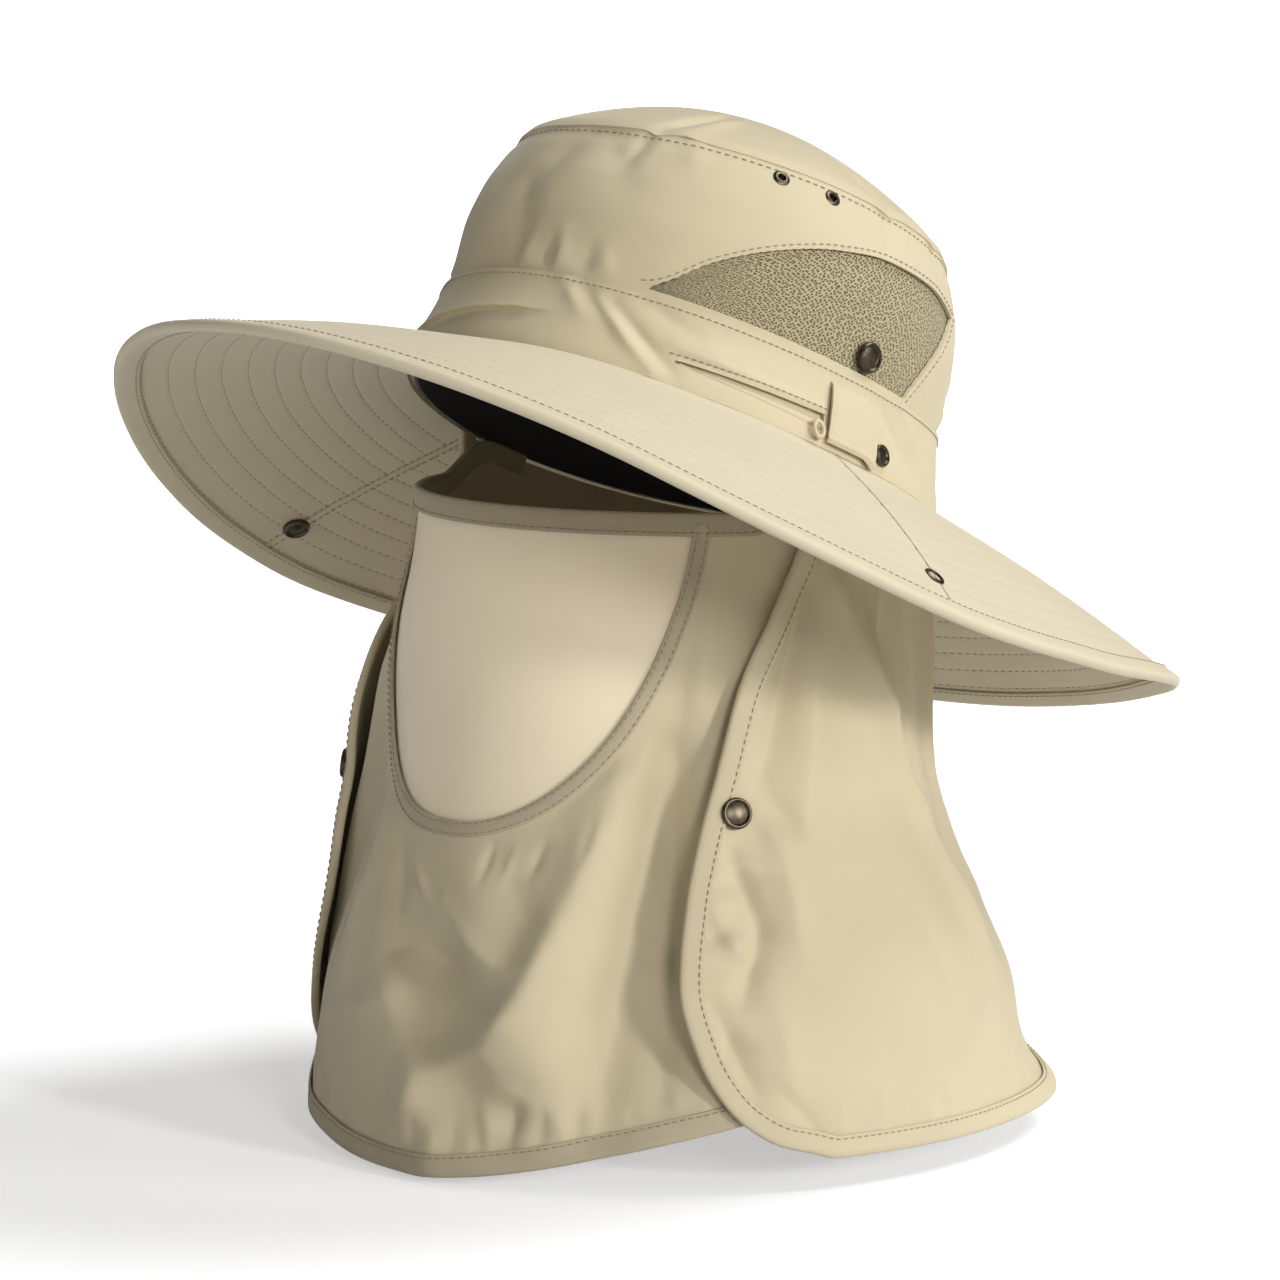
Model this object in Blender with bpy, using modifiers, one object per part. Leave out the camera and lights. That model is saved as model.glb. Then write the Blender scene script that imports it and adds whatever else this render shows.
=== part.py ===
"""Sun hat with a neck flap and a face cover, as worn. Metres, +Z up, front along -Y.

The origin is where the head sits: the middle of the seam between crown and brim.
The crown and the brim are drawn level and then pitched back about X.
An angle goes round the head in degrees: 0 is the front and +90 the wearer's left (+X).
"""
import math

import bmesh
import bpy
from mathutils import Matrix, Vector

GAP = 0.0003                 # clearance between pieces that touch
SET_IN = 0.0008              # clearance round a panel that is let into a wall
CLOTH = 0.0014               # wall of the woven cloth
MESH_CLOTH = 0.0010          # wall of the vents
PITCH = 21.3                 # the worn hat is tipped back by this many degrees

# Crown
CROWN_HALF_WIDTH = 0.0843    # the seam with the brim, from the middle to the side
CROWN_FRONT = 0.094          # the same seam, from the middle to the front
CROWN_BACK = 0.099
SEAM_DIP = 0.006             # how far the seam drops at the sides
WALL_HEIGHT = 0.080
DOME_HEIGHT = 0.0265
EYELET_RADIUS = 0.0024
EYELET_RISE = 0.0755
EYELET_RIM = 0.0011
EYELET_ANGLES = (58.8, 72.7)
CROWN_SNAP_RADIUS = 0.0052
CROWN_SNAP_RISE = 0.0335
CROWN_SNAP_ANGLE = 90.0
VENT_FRONT = 36.0            # angle of the vent's front tip
VENT_BACK_LOW = 105.0        # angles of its back edge, at the foot and at the top
VENT_BACK_HIGH = 124.0
VENT_FOOT = 0.35             # rise of its straight foot, a share of WALL_HEIGHT

# Band, strap and belt loop
BAND_HEIGHT = 0.026
BAND_CLOTH = 0.0014
SWEATBAND_HEIGHT = 0.0265
SWEATBAND_CLOTH = 0.0012
SWEATBAND_DROP = 0.0015      # how far the sweatband hangs below the seam
STRAP_WIDTH = 0.0055
STRAP_RISE = 0.0078
STRAP_START = 46.0           # angle of the slit's closed end
STRAP_END = 77.0
LOOP_HEIGHT = 0.0215
LOOP_ANGLES = (78.0, 94.0)   # its front and back edges
KEEPER_RADIUS = 0.0024
KEEPER_WIRE = 0.0009
KEEPER_LEAD = 2.6            # degrees from the loop's front edge forward to the keeper
BAND_SNAP_RADIUS = 0.0036
BAND_SNAP_LIFT = 0.0022      # from the seam up to the snap's lowest point
BAND_SNAP_TRAIL = 3.0        # degrees from the loop's back edge back to the snap

# Brim
BRIM_HALF_WIDTH = 0.167
BRIM_FRONT = 0.190
BRIM_BACK = 0.2055
BRIM_DROP = 0.0422           # mean drop of the edge below the seam
BRIM_ARCH = 0.0025           # how far the brim bows up between seam and edge
BRIM_CLOTH = 0.0019
BINDING_WIDTH = 0.006
BINDING_CLOTH = 0.0009
BRIM_SNAP_RADIUS = 0.0045
BRIM_SNAP_PLACE = 0.80       # share of the way from the seam to the edge
BRIM_SNAP_ANGLE = 83.0
BRIM_STUD = 0.8              # the stud above the brim, a share of the snap's radius

# Face cover and neck flap
DRAPE_HEIGHT = 0.2290        # from the origin down to the lowest hem
DRAPE_SIDE = 0.115
DRAPE_FRONT = 0.125
DRAPE_BACK = 0.125
VEIL_TOP = 0.0185            # top edge of the face cover, below the origin
VEIL_TILT = 0.003            # the left end of that edge is lower by this
VEIL_HEM_RISE = 0.027        # how far its hem rises towards the ears
VEIL_END = 98.0              # angle at which the face cover ends
TOP_BAND_WIDTH = 0.0065
HEM_WIDTH = 0.0065
TRIM_CLOTH = 0.0020          # bound edges are thicker than the cloth
PANEL_HALF_WIDTH = 0.0645
PANEL_DEPTH = 0.098
PANEL_ROUNDNESS = 2.4        # 2 is an ellipse, more is squarer
PANEL_LAP = 0.003            # how far the panel runs behind the edge of its opening
TAPE_WIDTH = 0.005
TAPE_CLOTH = 0.0010
CAPE_STAND = 0.0034          # how far the neck flap stands off the face cover
CAPE_HEM = 0.221             # its hem, below the origin
CAPE_HEM_RISE = 0.018        # its hem rises by this at the back
CAPE_BINDING_WIDTH = 0.006
FLAP_SNAP_RADIUS = 0.0050
FLAP_SNAP_LEVEL = 0.538      # share of the neck flap's height
FLAP_SNAP_INSET = 0.0095     # from the front edge to the snap
TAB_ANGLE = 92.0
TAB_LEVEL = 0.135            # its tip, a share of the neck flap's height
TAB_WIDTH = 0.0045
TAB_LENGTH = 0.0065
CORD_RADIUS = 0.0013
CORD_LOOP_HALF_WIDTH = 0.0030
CORD_LOOP_HALF_HEIGHT = 0.0050
CORD_LOOP_LEVEL = 0.115      # its middle, a share of the neck flap's height
CORD_LOOP_LEAD = 1.5         # degrees from the flap's front edge forward to the loop

# Crown wall: rise as a share of WALL_HEIGHT, girth as a share of the seam's.
CROWN_PROFILE = [
    {"rise": -0.30, "girth": 1.000},
    {"rise": 0.00, "girth": 1.000},
    {"rise": 0.15, "girth": 0.968},
    {"rise": 0.33, "girth": 0.938},
    {"rise": 0.58, "girth": 0.942},
    {"rise": 0.76, "girth": 0.918},
    {"rise": 0.90, "girth": 0.872},
    {"rise": 1.00, "girth": 0.832},
]

# Waves of the brim's edge: waves round the head, each as shares of BRIM_DROP.
BRIM_WAVES = [
    {"waves": 1, "ahead": 0.007, "left": -0.040},
    {"waves": 2, "ahead": -0.332, "left": 0.111},
    {"waves": 3, "ahead": -0.038, "left": 0.000},
    {"waves": 4, "ahead": 0.057, "left": 0.000},
]

# Plan of the hanging cloth: level as a share of DRAPE_HEIGHT,
# the rest as shares of DRAPE_SIDE, DRAPE_FRONT and DRAPE_BACK.
DRAPE_SECTIONS = [
    {"level": -0.10, "side": 0.690, "front": 0.700, "back": 0.760},
    {"level": 0.08, "side": 0.680, "front": 0.712, "back": 0.750},
    {"level": 0.28, "side": 0.718, "front": 0.758, "back": 0.705},
    {"level": 0.48, "side": 0.750, "front": 0.790, "back": 0.660},
    {"level": 0.58, "side": 0.815, "front": 0.840, "back": 0.690},
    {"level": 0.80, "side": 0.950, "front": 0.960, "back": 0.880},
    {"level": 0.92, "side": 0.985, "front": 0.985, "back": 0.960},
    {"level": 1.00, "side": 1.000, "front": 1.000, "back": 1.070},
]

# Folds: where each lies (angle and level), how far it spreads both ways, how its
# middle leans (degrees per unit of level), and its height as a share of DRAPE_SIDE.
SHARED_FOLDS = [
    {"angle": -68, "spread": 19, "level": 0.47, "reach": 0.25, "lean": 0, "height": 0.165},
    {"angle": -64, "spread": 14, "level": 0.82, "reach": 0.16, "lean": 0, "height": 0.030},
]
VEIL_FOLDS = [
    {"angle": 4, "spread": 9, "level": 0.78, "reach": 0.17, "lean": 90, "height": -0.055},
    {"angle": -9, "spread": 8, "level": 0.70, "reach": 0.13, "lean": 70, "height": 0.035},
    {"angle": 21, "spread": 8, "level": 0.80, "reach": 0.20, "lean": 60, "height": 0.040},
    {"angle": 38, "spread": 9, "level": 0.76, "reach": 0.22, "lean": 10, "height": 0.045},
    {"angle": 49, "spread": 7, "level": 0.74, "reach": 0.26, "lean": 8, "height": -0.030},
    {"angle": -31, "spread": 9, "level": 0.84, "reach": 0.20, "lean": 0, "height": 0.024},
    {"angle": 8, "spread": 5, "level": 1.00, "reach": 0.09, "lean": 0, "height": 0.024},
]
CAPE_FOLDS = [
    {"angle": 86, "spread": 24, "level": 0.66, "reach": 0.24, "lean": 30, "height": 0.075},
    {"angle": 121, "spread": 12, "level": 0.26, "reach": 0.24, "lean": 30, "height": -0.050},
    {"angle": 136, "spread": 16, "level": 0.74, "reach": 0.14, "lean": 0, "height": 0.026},
    {"angle": 142, "spread": 34, "level": 1.00, "reach": 0.07, "lean": 0, "height": 0.075},
    {"angle": 165, "spread": 14, "level": 0.80, "reach": 0.38, "lean": 0, "height": 0.035},
    {"angle": -84, "spread": 18, "level": 0.68, "reach": 0.30, "lean": 0, "height": 0.050},
    {"angle": -124, "spread": 13, "level": 0.30, "reach": 0.30, "lean": 0, "height": -0.040},
    {"angle": -150, "spread": 18, "level": 0.72, "reach": 0.34, "lean": 0, "height": 0.050},
    {"angle": 180, "spread": 9, "level": 0.72, "reach": 0.40, "lean": 0, "height": -0.030},
]

# Front edge of the neck flap: share of its height, and the angle that it reaches.
CAPE_FRONT = [
    {"share": 0.00, "angle": 80},
    {"share": 0.12, "angle": 78},
    {"share": 0.24, "angle": 70.5},
    {"share": 0.37, "angle": 62},
    {"share": 0.50, "angle": 57},
    {"share": 0.66, "angle": 51},
    {"share": 0.77, "angle": 49.5},
    {"share": 0.86, "angle": 52},
    {"share": 0.93, "angle": 56.5},
    {"share": 0.975, "angle": 63},
    {"share": 1.00, "angle": 71},
]

# Top edge of the vent: angle, and rise as a share of WALL_HEIGHT.
VENT_TOP = [
    {"angle": 32, "rise": 0.352},
    {"angle": 36, "rise": 0.365},
    {"angle": 49, "rise": 0.530},
    {"angle": 62, "rise": 0.655},
    {"angle": 76, "rise": 0.745},
    {"angle": 92, "rise": 0.800},
    {"angle": 108, "rise": 0.810},
    {"angle": 124, "rise": 0.770},
    {"angle": 130, "rise": 0.745},
]

# How far each kind of cutter reaches inwards and outwards from its wall.
VENT_CUT = (0.030, 0.070)
SLIT_CUT = (0.006, 0.010)
PANEL_CUT = (0.030, 0.110)

COLOURS = {
    "khaki": ((0.50, 0.43, 0.31), 0.75, 0.0),
    "khaki_trim": ((0.40, 0.35, 0.25), 0.80, 0.0),
    "vent_mesh": ((0.27, 0.24, 0.14), 0.90, 0.0),
    "charcoal": ((0.035, 0.035, 0.037), 0.85, 0.0),
    "bronze": ((0.055, 0.045, 0.032), 0.35, 1.0),
}


def smooth(value):
    """0 to 1 with flat ends."""
    value = min(max(value, 0.0), 1.0)
    return value * value * (3 - 2 * value)


def read_table(table, key, at, column):
    """A smooth curve through one column of a table, monotone between its rows."""
    if at <= table[0][key]:
        return table[0][column]
    for before, after in zip(table, table[1:]):
        if at <= after[key]:
            break
    else:
        return table[-1][column]
    index = table.index(before)
    earlier = table[max(index - 1, 0)]
    later = table[min(index + 2, len(table) - 1)]

    def slope(low, middle, high):
        left = (middle[column] - low[column]) / max(middle[key] - low[key], 1e-9)
        right = (high[column] - middle[column]) / max(high[key] - middle[key], 1e-9)
        if left * right <= 0:
            return 0.0
        return 2 * left * right / (left + right)

    span = after[key] - before[key]
    part = (at - before[key]) / span
    start = slope(earlier, before, after) * span
    end = slope(before, after, later) * span
    rise = after[column] - before[column]
    return (before[column] + start * part + (3 * rise - 2 * start - end) * part ** 2
            + (start + end - 2 * rise) * part ** 3)


def around(degrees, side, front, back):
    """A point on an egg-shaped ring: an ellipse with unlike front and back."""
    angle = math.radians(degrees)
    depth = front if math.cos(angle) > 0 else back
    return side * math.sin(angle), -depth * math.cos(angle)


def pitched(x, y, z):
    """From the level hat to the worn one."""
    return Matrix.Rotation(math.radians(-PITCH), 3, "X") @ Vector((x, y, z))


# Surfaces of the crown and the brim

def crown_level(degrees, rise, out=0.0):
    """A point of the crown wall before the pitch, rise in metres above the seam."""
    share = rise / WALL_HEIGHT
    girth = read_table(CROWN_PROFILE, "rise", share, "girth")
    x, y = around(degrees, CROWN_HALF_WIDTH * girth + out,
                  CROWN_FRONT * girth + out, CROWN_BACK * girth + out)
    dip = SEAM_DIP * math.sin(math.radians(degrees)) ** 2 * (1 - smooth(share))
    return Vector((x, y, rise - dip))


def crown_point(degrees, rise, out=0.0):
    return pitched(*crown_level(degrees, rise, out))


def dome_point(degrees, share):
    """Top of the crown: share 0 at the tip seam and 1 at the middle."""
    rim = crown_level(degrees, WALL_HEIGHT)
    return pitched(rim.x * (1 - share), rim.y * (1 - share),
                   WALL_HEIGHT + GAP + CLOTH + DOME_HEIGHT * (1 - (1 - share) ** 2))


def brim_edge(degrees):
    x, y = around(degrees, BRIM_HALF_WIDTH, BRIM_FRONT, BRIM_BACK)
    drop = 1.0
    for row in BRIM_WAVES:
        turn = math.radians(degrees) * row["waves"]
        drop += row["ahead"] * math.cos(turn) + row["left"] * math.sin(turn)
    return Vector((x, y, -BRIM_DROP * drop))


def brim_level(degrees, share, up=0.0):
    """A point of the brim's upper face before the pitch, share 0 at the seam."""
    seam = crown_level(degrees, 0.0, GAP + BRIM_CLOTH * 0.6)
    point = seam.lerp(brim_edge(degrees), share)
    point.z += BRIM_ARCH * math.sin(math.pi * share) + up
    return point


def brim_point(degrees, share, up=0.0):
    return pitched(*brim_level(degrees, share, up))


# Surfaces of the hanging cloth

def folds(table, degrees, level):
    """Sum of the rounded folds of a table, in metres outwards."""
    total = 0.0
    for row in table:
        middle = row["angle"] + row["lean"] * (level - row["level"])
        turn = (degrees - middle + 180) % 360 - 180
        side = (turn / row["spread"]) ** 2
        along = ((level - row["level"]) / row["reach"]) ** 2
        total += row["height"] * DRAPE_SIDE * math.exp(-side - along)
    return total


def drape_point(degrees, z, out):
    """A point of the hanging cloth at a height z, pushed outwards in plan."""
    level = -z / DRAPE_HEIGHT
    side, front, back = (read_table(DRAPE_SECTIONS, "level", level, key) * size
                         for key, size in (("side", DRAPE_SIDE), ("front", DRAPE_FRONT),
                                           ("back", DRAPE_BACK)))
    out += folds(SHARED_FOLDS, degrees, level)
    x, y = around(degrees, side + out, front + out, back + out)
    return Vector((x, y, z))


def veil_point(degrees, share, out=0.0):
    """The face cover's outer face: share 0 at the top edge and 1 at the hem."""
    sine = math.sin(math.radians(degrees))
    top = -VEIL_TOP - VEIL_TILT * sine
    hem = -DRAPE_HEIGHT + VEIL_HEM_RISE * sine * sine
    hook = crown_point(degrees, -SWEATBAND_DROP - GAP, -CLOTH - GAP * 4 + out)
    rise = smooth((abs(degrees) - 66) / 26)
    top += (hook.z - top) * rise
    z = top + (hem - top) * share
    point = drape_point(degrees, z, out + folds(VEIL_FOLDS, degrees, -z / DRAPE_HEIGHT))
    held = rise * (1 - smooth(share / 0.25))
    point.x += (hook.x - point.x) * held
    point.y += (hook.y - point.y) * held
    return point


def cape_hem(degrees):
    """Height of the neck flap's hem."""
    return -CAPE_HEM + CAPE_HEM_RISE * smooth((abs(degrees) - 125) / 55)


def cape_point(degrees, share, out=0.0):
    """The neck flap's outer face: share 0 under the brim and 1 at the hem."""
    degrees = (degrees + 180) % 360 - 180
    seat = crown_point(degrees, -BRIM_CLOTH - GAP * 2, -GAP + out)
    z = seat.z + (cape_hem(degrees) - seat.z) * share
    level = -z / DRAPE_HEIGHT
    push = CAPE_STAND + out + folds(CAPE_FOLDS, degrees, level)
    point = drape_point(degrees, z, push)
    held = 1 - smooth(share / 0.22)
    point.x += (seat.x - point.x) * held
    point.y += (seat.y - point.y) * held
    return point


def cape_front(share):
    return read_table(CAPE_FRONT, "share", share, "angle")


def cape_cloth(along, share, out=0.0):
    """Along 0 is the left front edge and 1 the right one, round the back."""
    front = cape_front(share)
    return cape_point(front + (360 - 2 * front) * along, share, out)


# Building helpers

def clear_scene():
    for item in list(bpy.data.objects):
        bpy.data.objects.remove(item, do_unlink=True)


def make_collection(name):
    group = bpy.data.collections.new(name)
    bpy.context.scene.collection.children.link(group)
    return group


def make_materials():
    made = {}
    for name, (colour, roughness, metallic) in COLOURS.items():
        material = bpy.data.materials.new(name)
        material.use_nodes = True
        shader = material.node_tree.nodes["Principled BSDF"]
        shader.inputs["Base Color"].default_value = (*colour, 1.0)
        shader.inputs["Roughness"].default_value = roughness
        shader.inputs["Metallic"].default_value = metallic
        made[name] = material
    return made


def add_object(name, mesh, material, group=None):
    item = bpy.data.objects.new(name, mesh)
    (group or PARTS).objects.link(item)
    mesh.materials.append(MATERIALS[material])
    return item


def sheet(name, material, place, columns, rows, thickness, side=-1, group=None):
    """A cloth wall: a grid laid on place(u, v) and thickened with Solidify.

    Side -1 keeps the given surface outside and 0 keeps it in the middle.
    """
    mesh = bpy.data.meshes.new(name)
    work = bmesh.new()
    bmesh.ops.create_grid(work, x_segments=columns, y_segments=rows, size=1.0)
    for vert in work.verts:
        vert.co = place((vert.co.x + 1) / 2, (vert.co.y + 1) / 2)
    bmesh.ops.remove_doubles(work, verts=work.verts, dist=1e-6)
    work.to_mesh(mesh)
    work.free()
    mesh.shade_smooth()
    mesh.set_sharp_from_angle(angle=math.radians(50))
    item = add_object(name, mesh, material, group)
    wall = item.modifiers.new("wall", "SOLIDIFY")
    wall.thickness = thickness
    wall.offset = side
    return item


def window(name, outline, inward, outward):
    """A cutter through a wall: outline(out) gives the ring of points at a depth."""
    mesh = bpy.data.meshes.new(name)
    work = bmesh.new()
    inner = [work.verts.new(point) for point in outline(-inward)]
    outer = [work.verts.new(point) for point in outline(outward)]
    for index in range(len(inner)):
        after = (index + 1) % len(inner)
        work.faces.new((inner[index], inner[after], outer[after], outer[index]))
    work.faces.new(inner[::-1])
    work.faces.new(outer)
    bmesh.ops.recalc_face_normals(work, faces=work.faces)
    work.to_mesh(mesh)
    work.free()
    item = add_object(name, mesh, "khaki", CUTTERS)
    item.hide_render = True
    item.display_type = "WIRE"
    return item


def boolean(item, cutter, operation="DIFFERENCE"):
    cut = item.modifiers.new(operation.lower(), "BOOLEAN")
    cut.operation = operation
    cut.solver = "EXACT"
    cut.object = cutter


def facing(centre, outward):
    """A matrix at a point, with its Z along the outward direction."""
    turn = outward.to_track_quat("Z", "Y").to_matrix().to_4x4()
    return Matrix.Translation(centre) @ turn


def turned(name, material, profile, centre, outward, sides=10):
    """A turned piece: its profile of (radius, height) goes round the outward axis."""
    mesh = bpy.data.meshes.new(name)
    work = bmesh.new()
    verts = [work.verts.new((radius, 0.0, height)) for radius, height in profile]
    for first, second in zip(verts, verts[1:]):
        work.edges.new((first, second))
    work.to_mesh(mesh)
    work.free()
    item = add_object(name, mesh, material)
    screw = item.modifiers.new("turn", "SCREW")
    screw.steps = sides
    screw.render_steps = sides
    screw.use_merge_vertices = True
    screw.merge_threshold = 0.00001
    item.matrix_world = facing(centre, outward)
    return item


def snap_profile(radius, stem=0.0):
    """A domed cap with a rolled rim and a hollow, from its top edge down."""
    height = radius * 0.36
    return [(0.0, height * 0.55), (radius * 0.34, height * 0.55), (radius * 0.42, height),
            (radius * 0.78, height), (radius, height * 0.5), (radius, 0.0), (0.0, -stem)]


def surface_normal(place, a, b, step_a, step_b):
    """Outward normal of a surface by small steps, with a running round the head."""
    across = place(a + step_a, b) - place(a - step_a, b)
    along = place(a, b + step_b) - place(a, b - step_b)
    return across.cross(along).normalized()


def lay_tube(name, material, points, radius, closed=False):
    """A round cord or wire along a smooth route."""
    curve = bpy.data.curves.new(name, "CURVE")
    curve.dimensions = "3D"
    curve.bevel_depth = radius
    curve.bevel_resolution = 0
    curve.use_fill_caps = not closed
    spline = curve.splines.new("POLY")
    spline.points.add(len(points) - 1)
    for spot, point in zip(spline.points, points):
        spot.co = (*point, 1.0)
    spline.use_cyclic_u = closed
    item = bpy.data.objects.new(name, curve)
    PARTS.objects.link(item)
    curve.materials.append(MATERIALS[material])
    return item


# Pieces of the crown

ROUND = 36                   # facets round the crown


def vent_spot(sign, u, v, out):
    """A point of the vent: u from its front tip back, v from its foot to its arc."""
    back = VENT_BACK_LOW + (VENT_BACK_HIGH - VENT_BACK_LOW) * v
    angle = VENT_FRONT + (back - VENT_FRONT) * u
    top = read_table(VENT_TOP, "angle", angle, "rise")
    return crown_point(sign * angle, (VENT_FOOT + (top - VENT_FOOT) * v) * WALL_HEIGHT, out)


def vent_ring(sign, out):
    steps = [step / 8 for step in range(8)]
    spots = [(u, 0.0) for u in steps[::2]] + [(1.0, v) for v in steps[::3]]
    spots += [(1 - u, 1.0) for u in steps]
    return [vent_spot(sign, u, v, out) for u, v in spots]


def crown_wall(name):
    rises = [-BRIM_CLOTH, 0.0, BAND_HEIGHT / 2, BAND_HEIGHT]
    rises += [BAND_HEIGHT + (WALL_HEIGHT - BAND_HEIGHT) * share for share in (0.35, 0.7, 1.0)]
    rows = len(rises) - 1

    def place(u, v):
        return crown_point(-180 + 360 * u, rises[round(v * rows)])

    return sheet(name, "khaki", place, ROUND, rows, CLOTH)


def make_crown():
    wall = crown_wall("crown_wall")
    for sign, side in ((1, "left"), (-1, "right")):
        boolean(wall, window("vent_cut_" + side, lambda out: vent_ring(sign, out), *VENT_CUT))

        def net(u, v):
            across = -0.02 + 1.04 * (u if sign > 0 else 1 - u)
            return vent_spot(sign, across, -0.03 + 1.08 * v, -CLOTH - SET_IN * 1.5)

        sheet("vent_" + side, "vent_mesh", net, 12, 3, MESH_CLOTH)
        for number, angle in enumerate(EYELET_ANGLES, start=1):
            make_eyelet(wall, sign * angle, side + "_" + str(number))
    sheet("crown_tip", "khaki", lambda u, v: dome_point(-180 + 360 * u, v), ROUND, 4, CLOTH)

    def inside_band(u, v):
        rise = -SWEATBAND_DROP + SWEATBAND_HEIGHT * v
        return crown_point(-180 + 360 * u, rise, -CLOTH - GAP * 2)

    sheet("sweatband", "charcoal", inside_band, ROUND, 2, SWEATBAND_CLOTH)


def make_eyelet(wall, angle, name):
    """A metal ring through the crown wall."""
    centre = crown_point(angle, EYELET_RISE)
    outward = surface_normal(crown_point, angle, EYELET_RISE, 1.0, 0.002)
    hole = EYELET_RADIUS + GAP
    cutter = turned("eyelet_cut_" + name, "khaki",
                    [(0.0, 0.004), (hole, 0.004), (hole, -0.005), (0.0, -0.005)],
                    centre, outward)
    CUTTERS.objects.link(cutter)
    PARTS.objects.unlink(cutter)
    cutter.hide_render = True
    cutter.display_type = "WIRE"
    boolean(wall, cutter)
    outer = EYELET_RADIUS + EYELET_RIM
    bore = EYELET_RADIUS - EYELET_RIM
    lip = GAP * 2 + EYELET_RIM * 0.6
    turned("eyelet_" + name, "bronze",
           [(bore, lip), (outer, lip), (outer, GAP * 2), (EYELET_RADIUS, GAP * 2),
            (EYELET_RADIUS, -CLOTH - GAP), (bore, -CLOTH - GAP), (bore, lip)],
           centre, outward)


def make_snap(name, place, a, b, steps, radius, lift, flip=1.0):
    """A snap cap seated on a surface."""
    outward = surface_normal(place, a, b, *steps) * flip
    centre = place(a, b) + outward * lift
    return turned(name, "bronze", snap_profile(radius), centre, outward)


# Pieces of the band

def make_band():
    foot = BRIM_ARCH * 0.25 + GAP

    def place(u, v):
        return crown_point(-180 + 360 * u, foot + (BAND_HEIGHT - foot) * v, GAP + BAND_CLOTH)

    band = sheet("crown_band", "khaki", place, ROUND, 2, BAND_CLOTH)
    for sign, side in ((1, "left"), (-1, "right")):
        make_strap(band, sign, side)
        make_belt_loop(sign, side)


def strap_half(part):
    """Half the height of the slit, from its closed end to the belt loop."""
    return STRAP_WIDTH / 2 * (0.3 + 0.7 * part)


def strap_ring(sign, out):
    """The slit where the strap shows, wider towards the belt loop."""
    parts = [step / 4 for step in range(5)]
    top = [(part, STRAP_RISE + strap_half(part)) for part in parts]
    foot = [(part, STRAP_RISE - strap_half(part)) for part in reversed(parts)]
    return [crown_point(sign * (STRAP_START + (STRAP_END - STRAP_START) * part), up, out)
            for part, up in top + foot]


def make_strap(band, sign, side):
    """The tapered slit of the band and the strap that lies in it."""
    boolean(band, window("slit_" + side, lambda out: strap_ring(sign, out), *SLIT_CUT))
    start, end = STRAP_START + 2.0, STRAP_END - 0.8

    def place(u, v):
        along = u if sign > 0 else 1 - u
        angle = start + (end - start) * along
        part = (angle - STRAP_START) / (STRAP_END - STRAP_START)
        rise = STRAP_RISE + (strap_half(part) - SET_IN) * (2 * v - 1)
        return crown_point(sign * angle, rise, GAP + BAND_CLOTH * 0.7)

    sheet("adjuster_strap_" + side, "khaki_trim", place, 6, 1, BAND_CLOTH * 0.7)


def make_belt_loop(sign, side):
    """An upright cloth loop over the band, its keeper ring and the snap behind it."""
    first, last = LOOP_ANGLES
    foot = BRIM_ARCH * 0.5 + GAP * 2
    out = GAP + BAND_CLOTH + GAP * 2 + CLOTH

    def place(u, v):
        angle = sign * (first + (last - first) * (u if sign > 0 else 1 - u))
        return crown_point(angle, foot + (LOOP_HEIGHT - foot) * v, out)

    sheet("belt_loop_" + side, "khaki", place, 5, 3, CLOTH)
    on_band = GAP + BAND_CLOTH
    centre = crown_point(sign * (first - KEEPER_LEAD), foot + KEEPER_RADIUS + KEEPER_WIRE,
                         on_band + KEEPER_WIRE + GAP)
    outward = surface_normal(crown_point, sign * first, 0.004, 1.0, 0.002)
    level = facing(centre, outward)
    ring = [level @ Vector((math.cos(turn) * KEEPER_RADIUS * 0.75,
                            math.sin(turn) * KEEPER_RADIUS, 0.0))
            for turn in (2 * math.pi * step / 10 for step in range(10))]
    lay_tube("keeper_" + side, "bronze", ring, KEEPER_WIRE, closed=True)
    make_snap("band_snap_" + side, crown_point, sign * (last + BAND_SNAP_TRAIL),
              BAND_SNAP_RADIUS + BAND_SNAP_LIFT, (1.0, 0.002), BAND_SNAP_RADIUS, on_band + GAP)
    make_snap("crown_snap_" + side, crown_point, sign * CROWN_SNAP_ANGLE, CROWN_SNAP_RISE,
              (1.0, 0.002), CROWN_SNAP_RADIUS, GAP)


# Pieces of the brim

BRIM_ROUND = 44              # facets round the brim


def make_brim():
    def place(u, v):
        return brim_point(-180 + 360 * u, 1 - v)

    sheet("brim", "khaki", place, BRIM_ROUND, 4, BRIM_CLOTH)
    make_binding()
    for sign, side in ((1, "left"), (-1, "right")):
        angle = sign * BRIM_SNAP_ANGLE
        upper = surface_normal(brim_point, angle, BRIM_SNAP_PLACE, 1.0, -0.02)
        below = brim_point(angle, BRIM_SNAP_PLACE) - upper * (BRIM_CLOTH + GAP)
        turned("brim_snap_" + side, "bronze", snap_profile(BRIM_SNAP_RADIUS), below, -upper)
        above = brim_point(angle, BRIM_SNAP_PLACE) + upper * GAP
        turned("brim_stud_" + side, "bronze", snap_profile(BRIM_SNAP_RADIUS * BRIM_STUD), above,
               upper)


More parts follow.
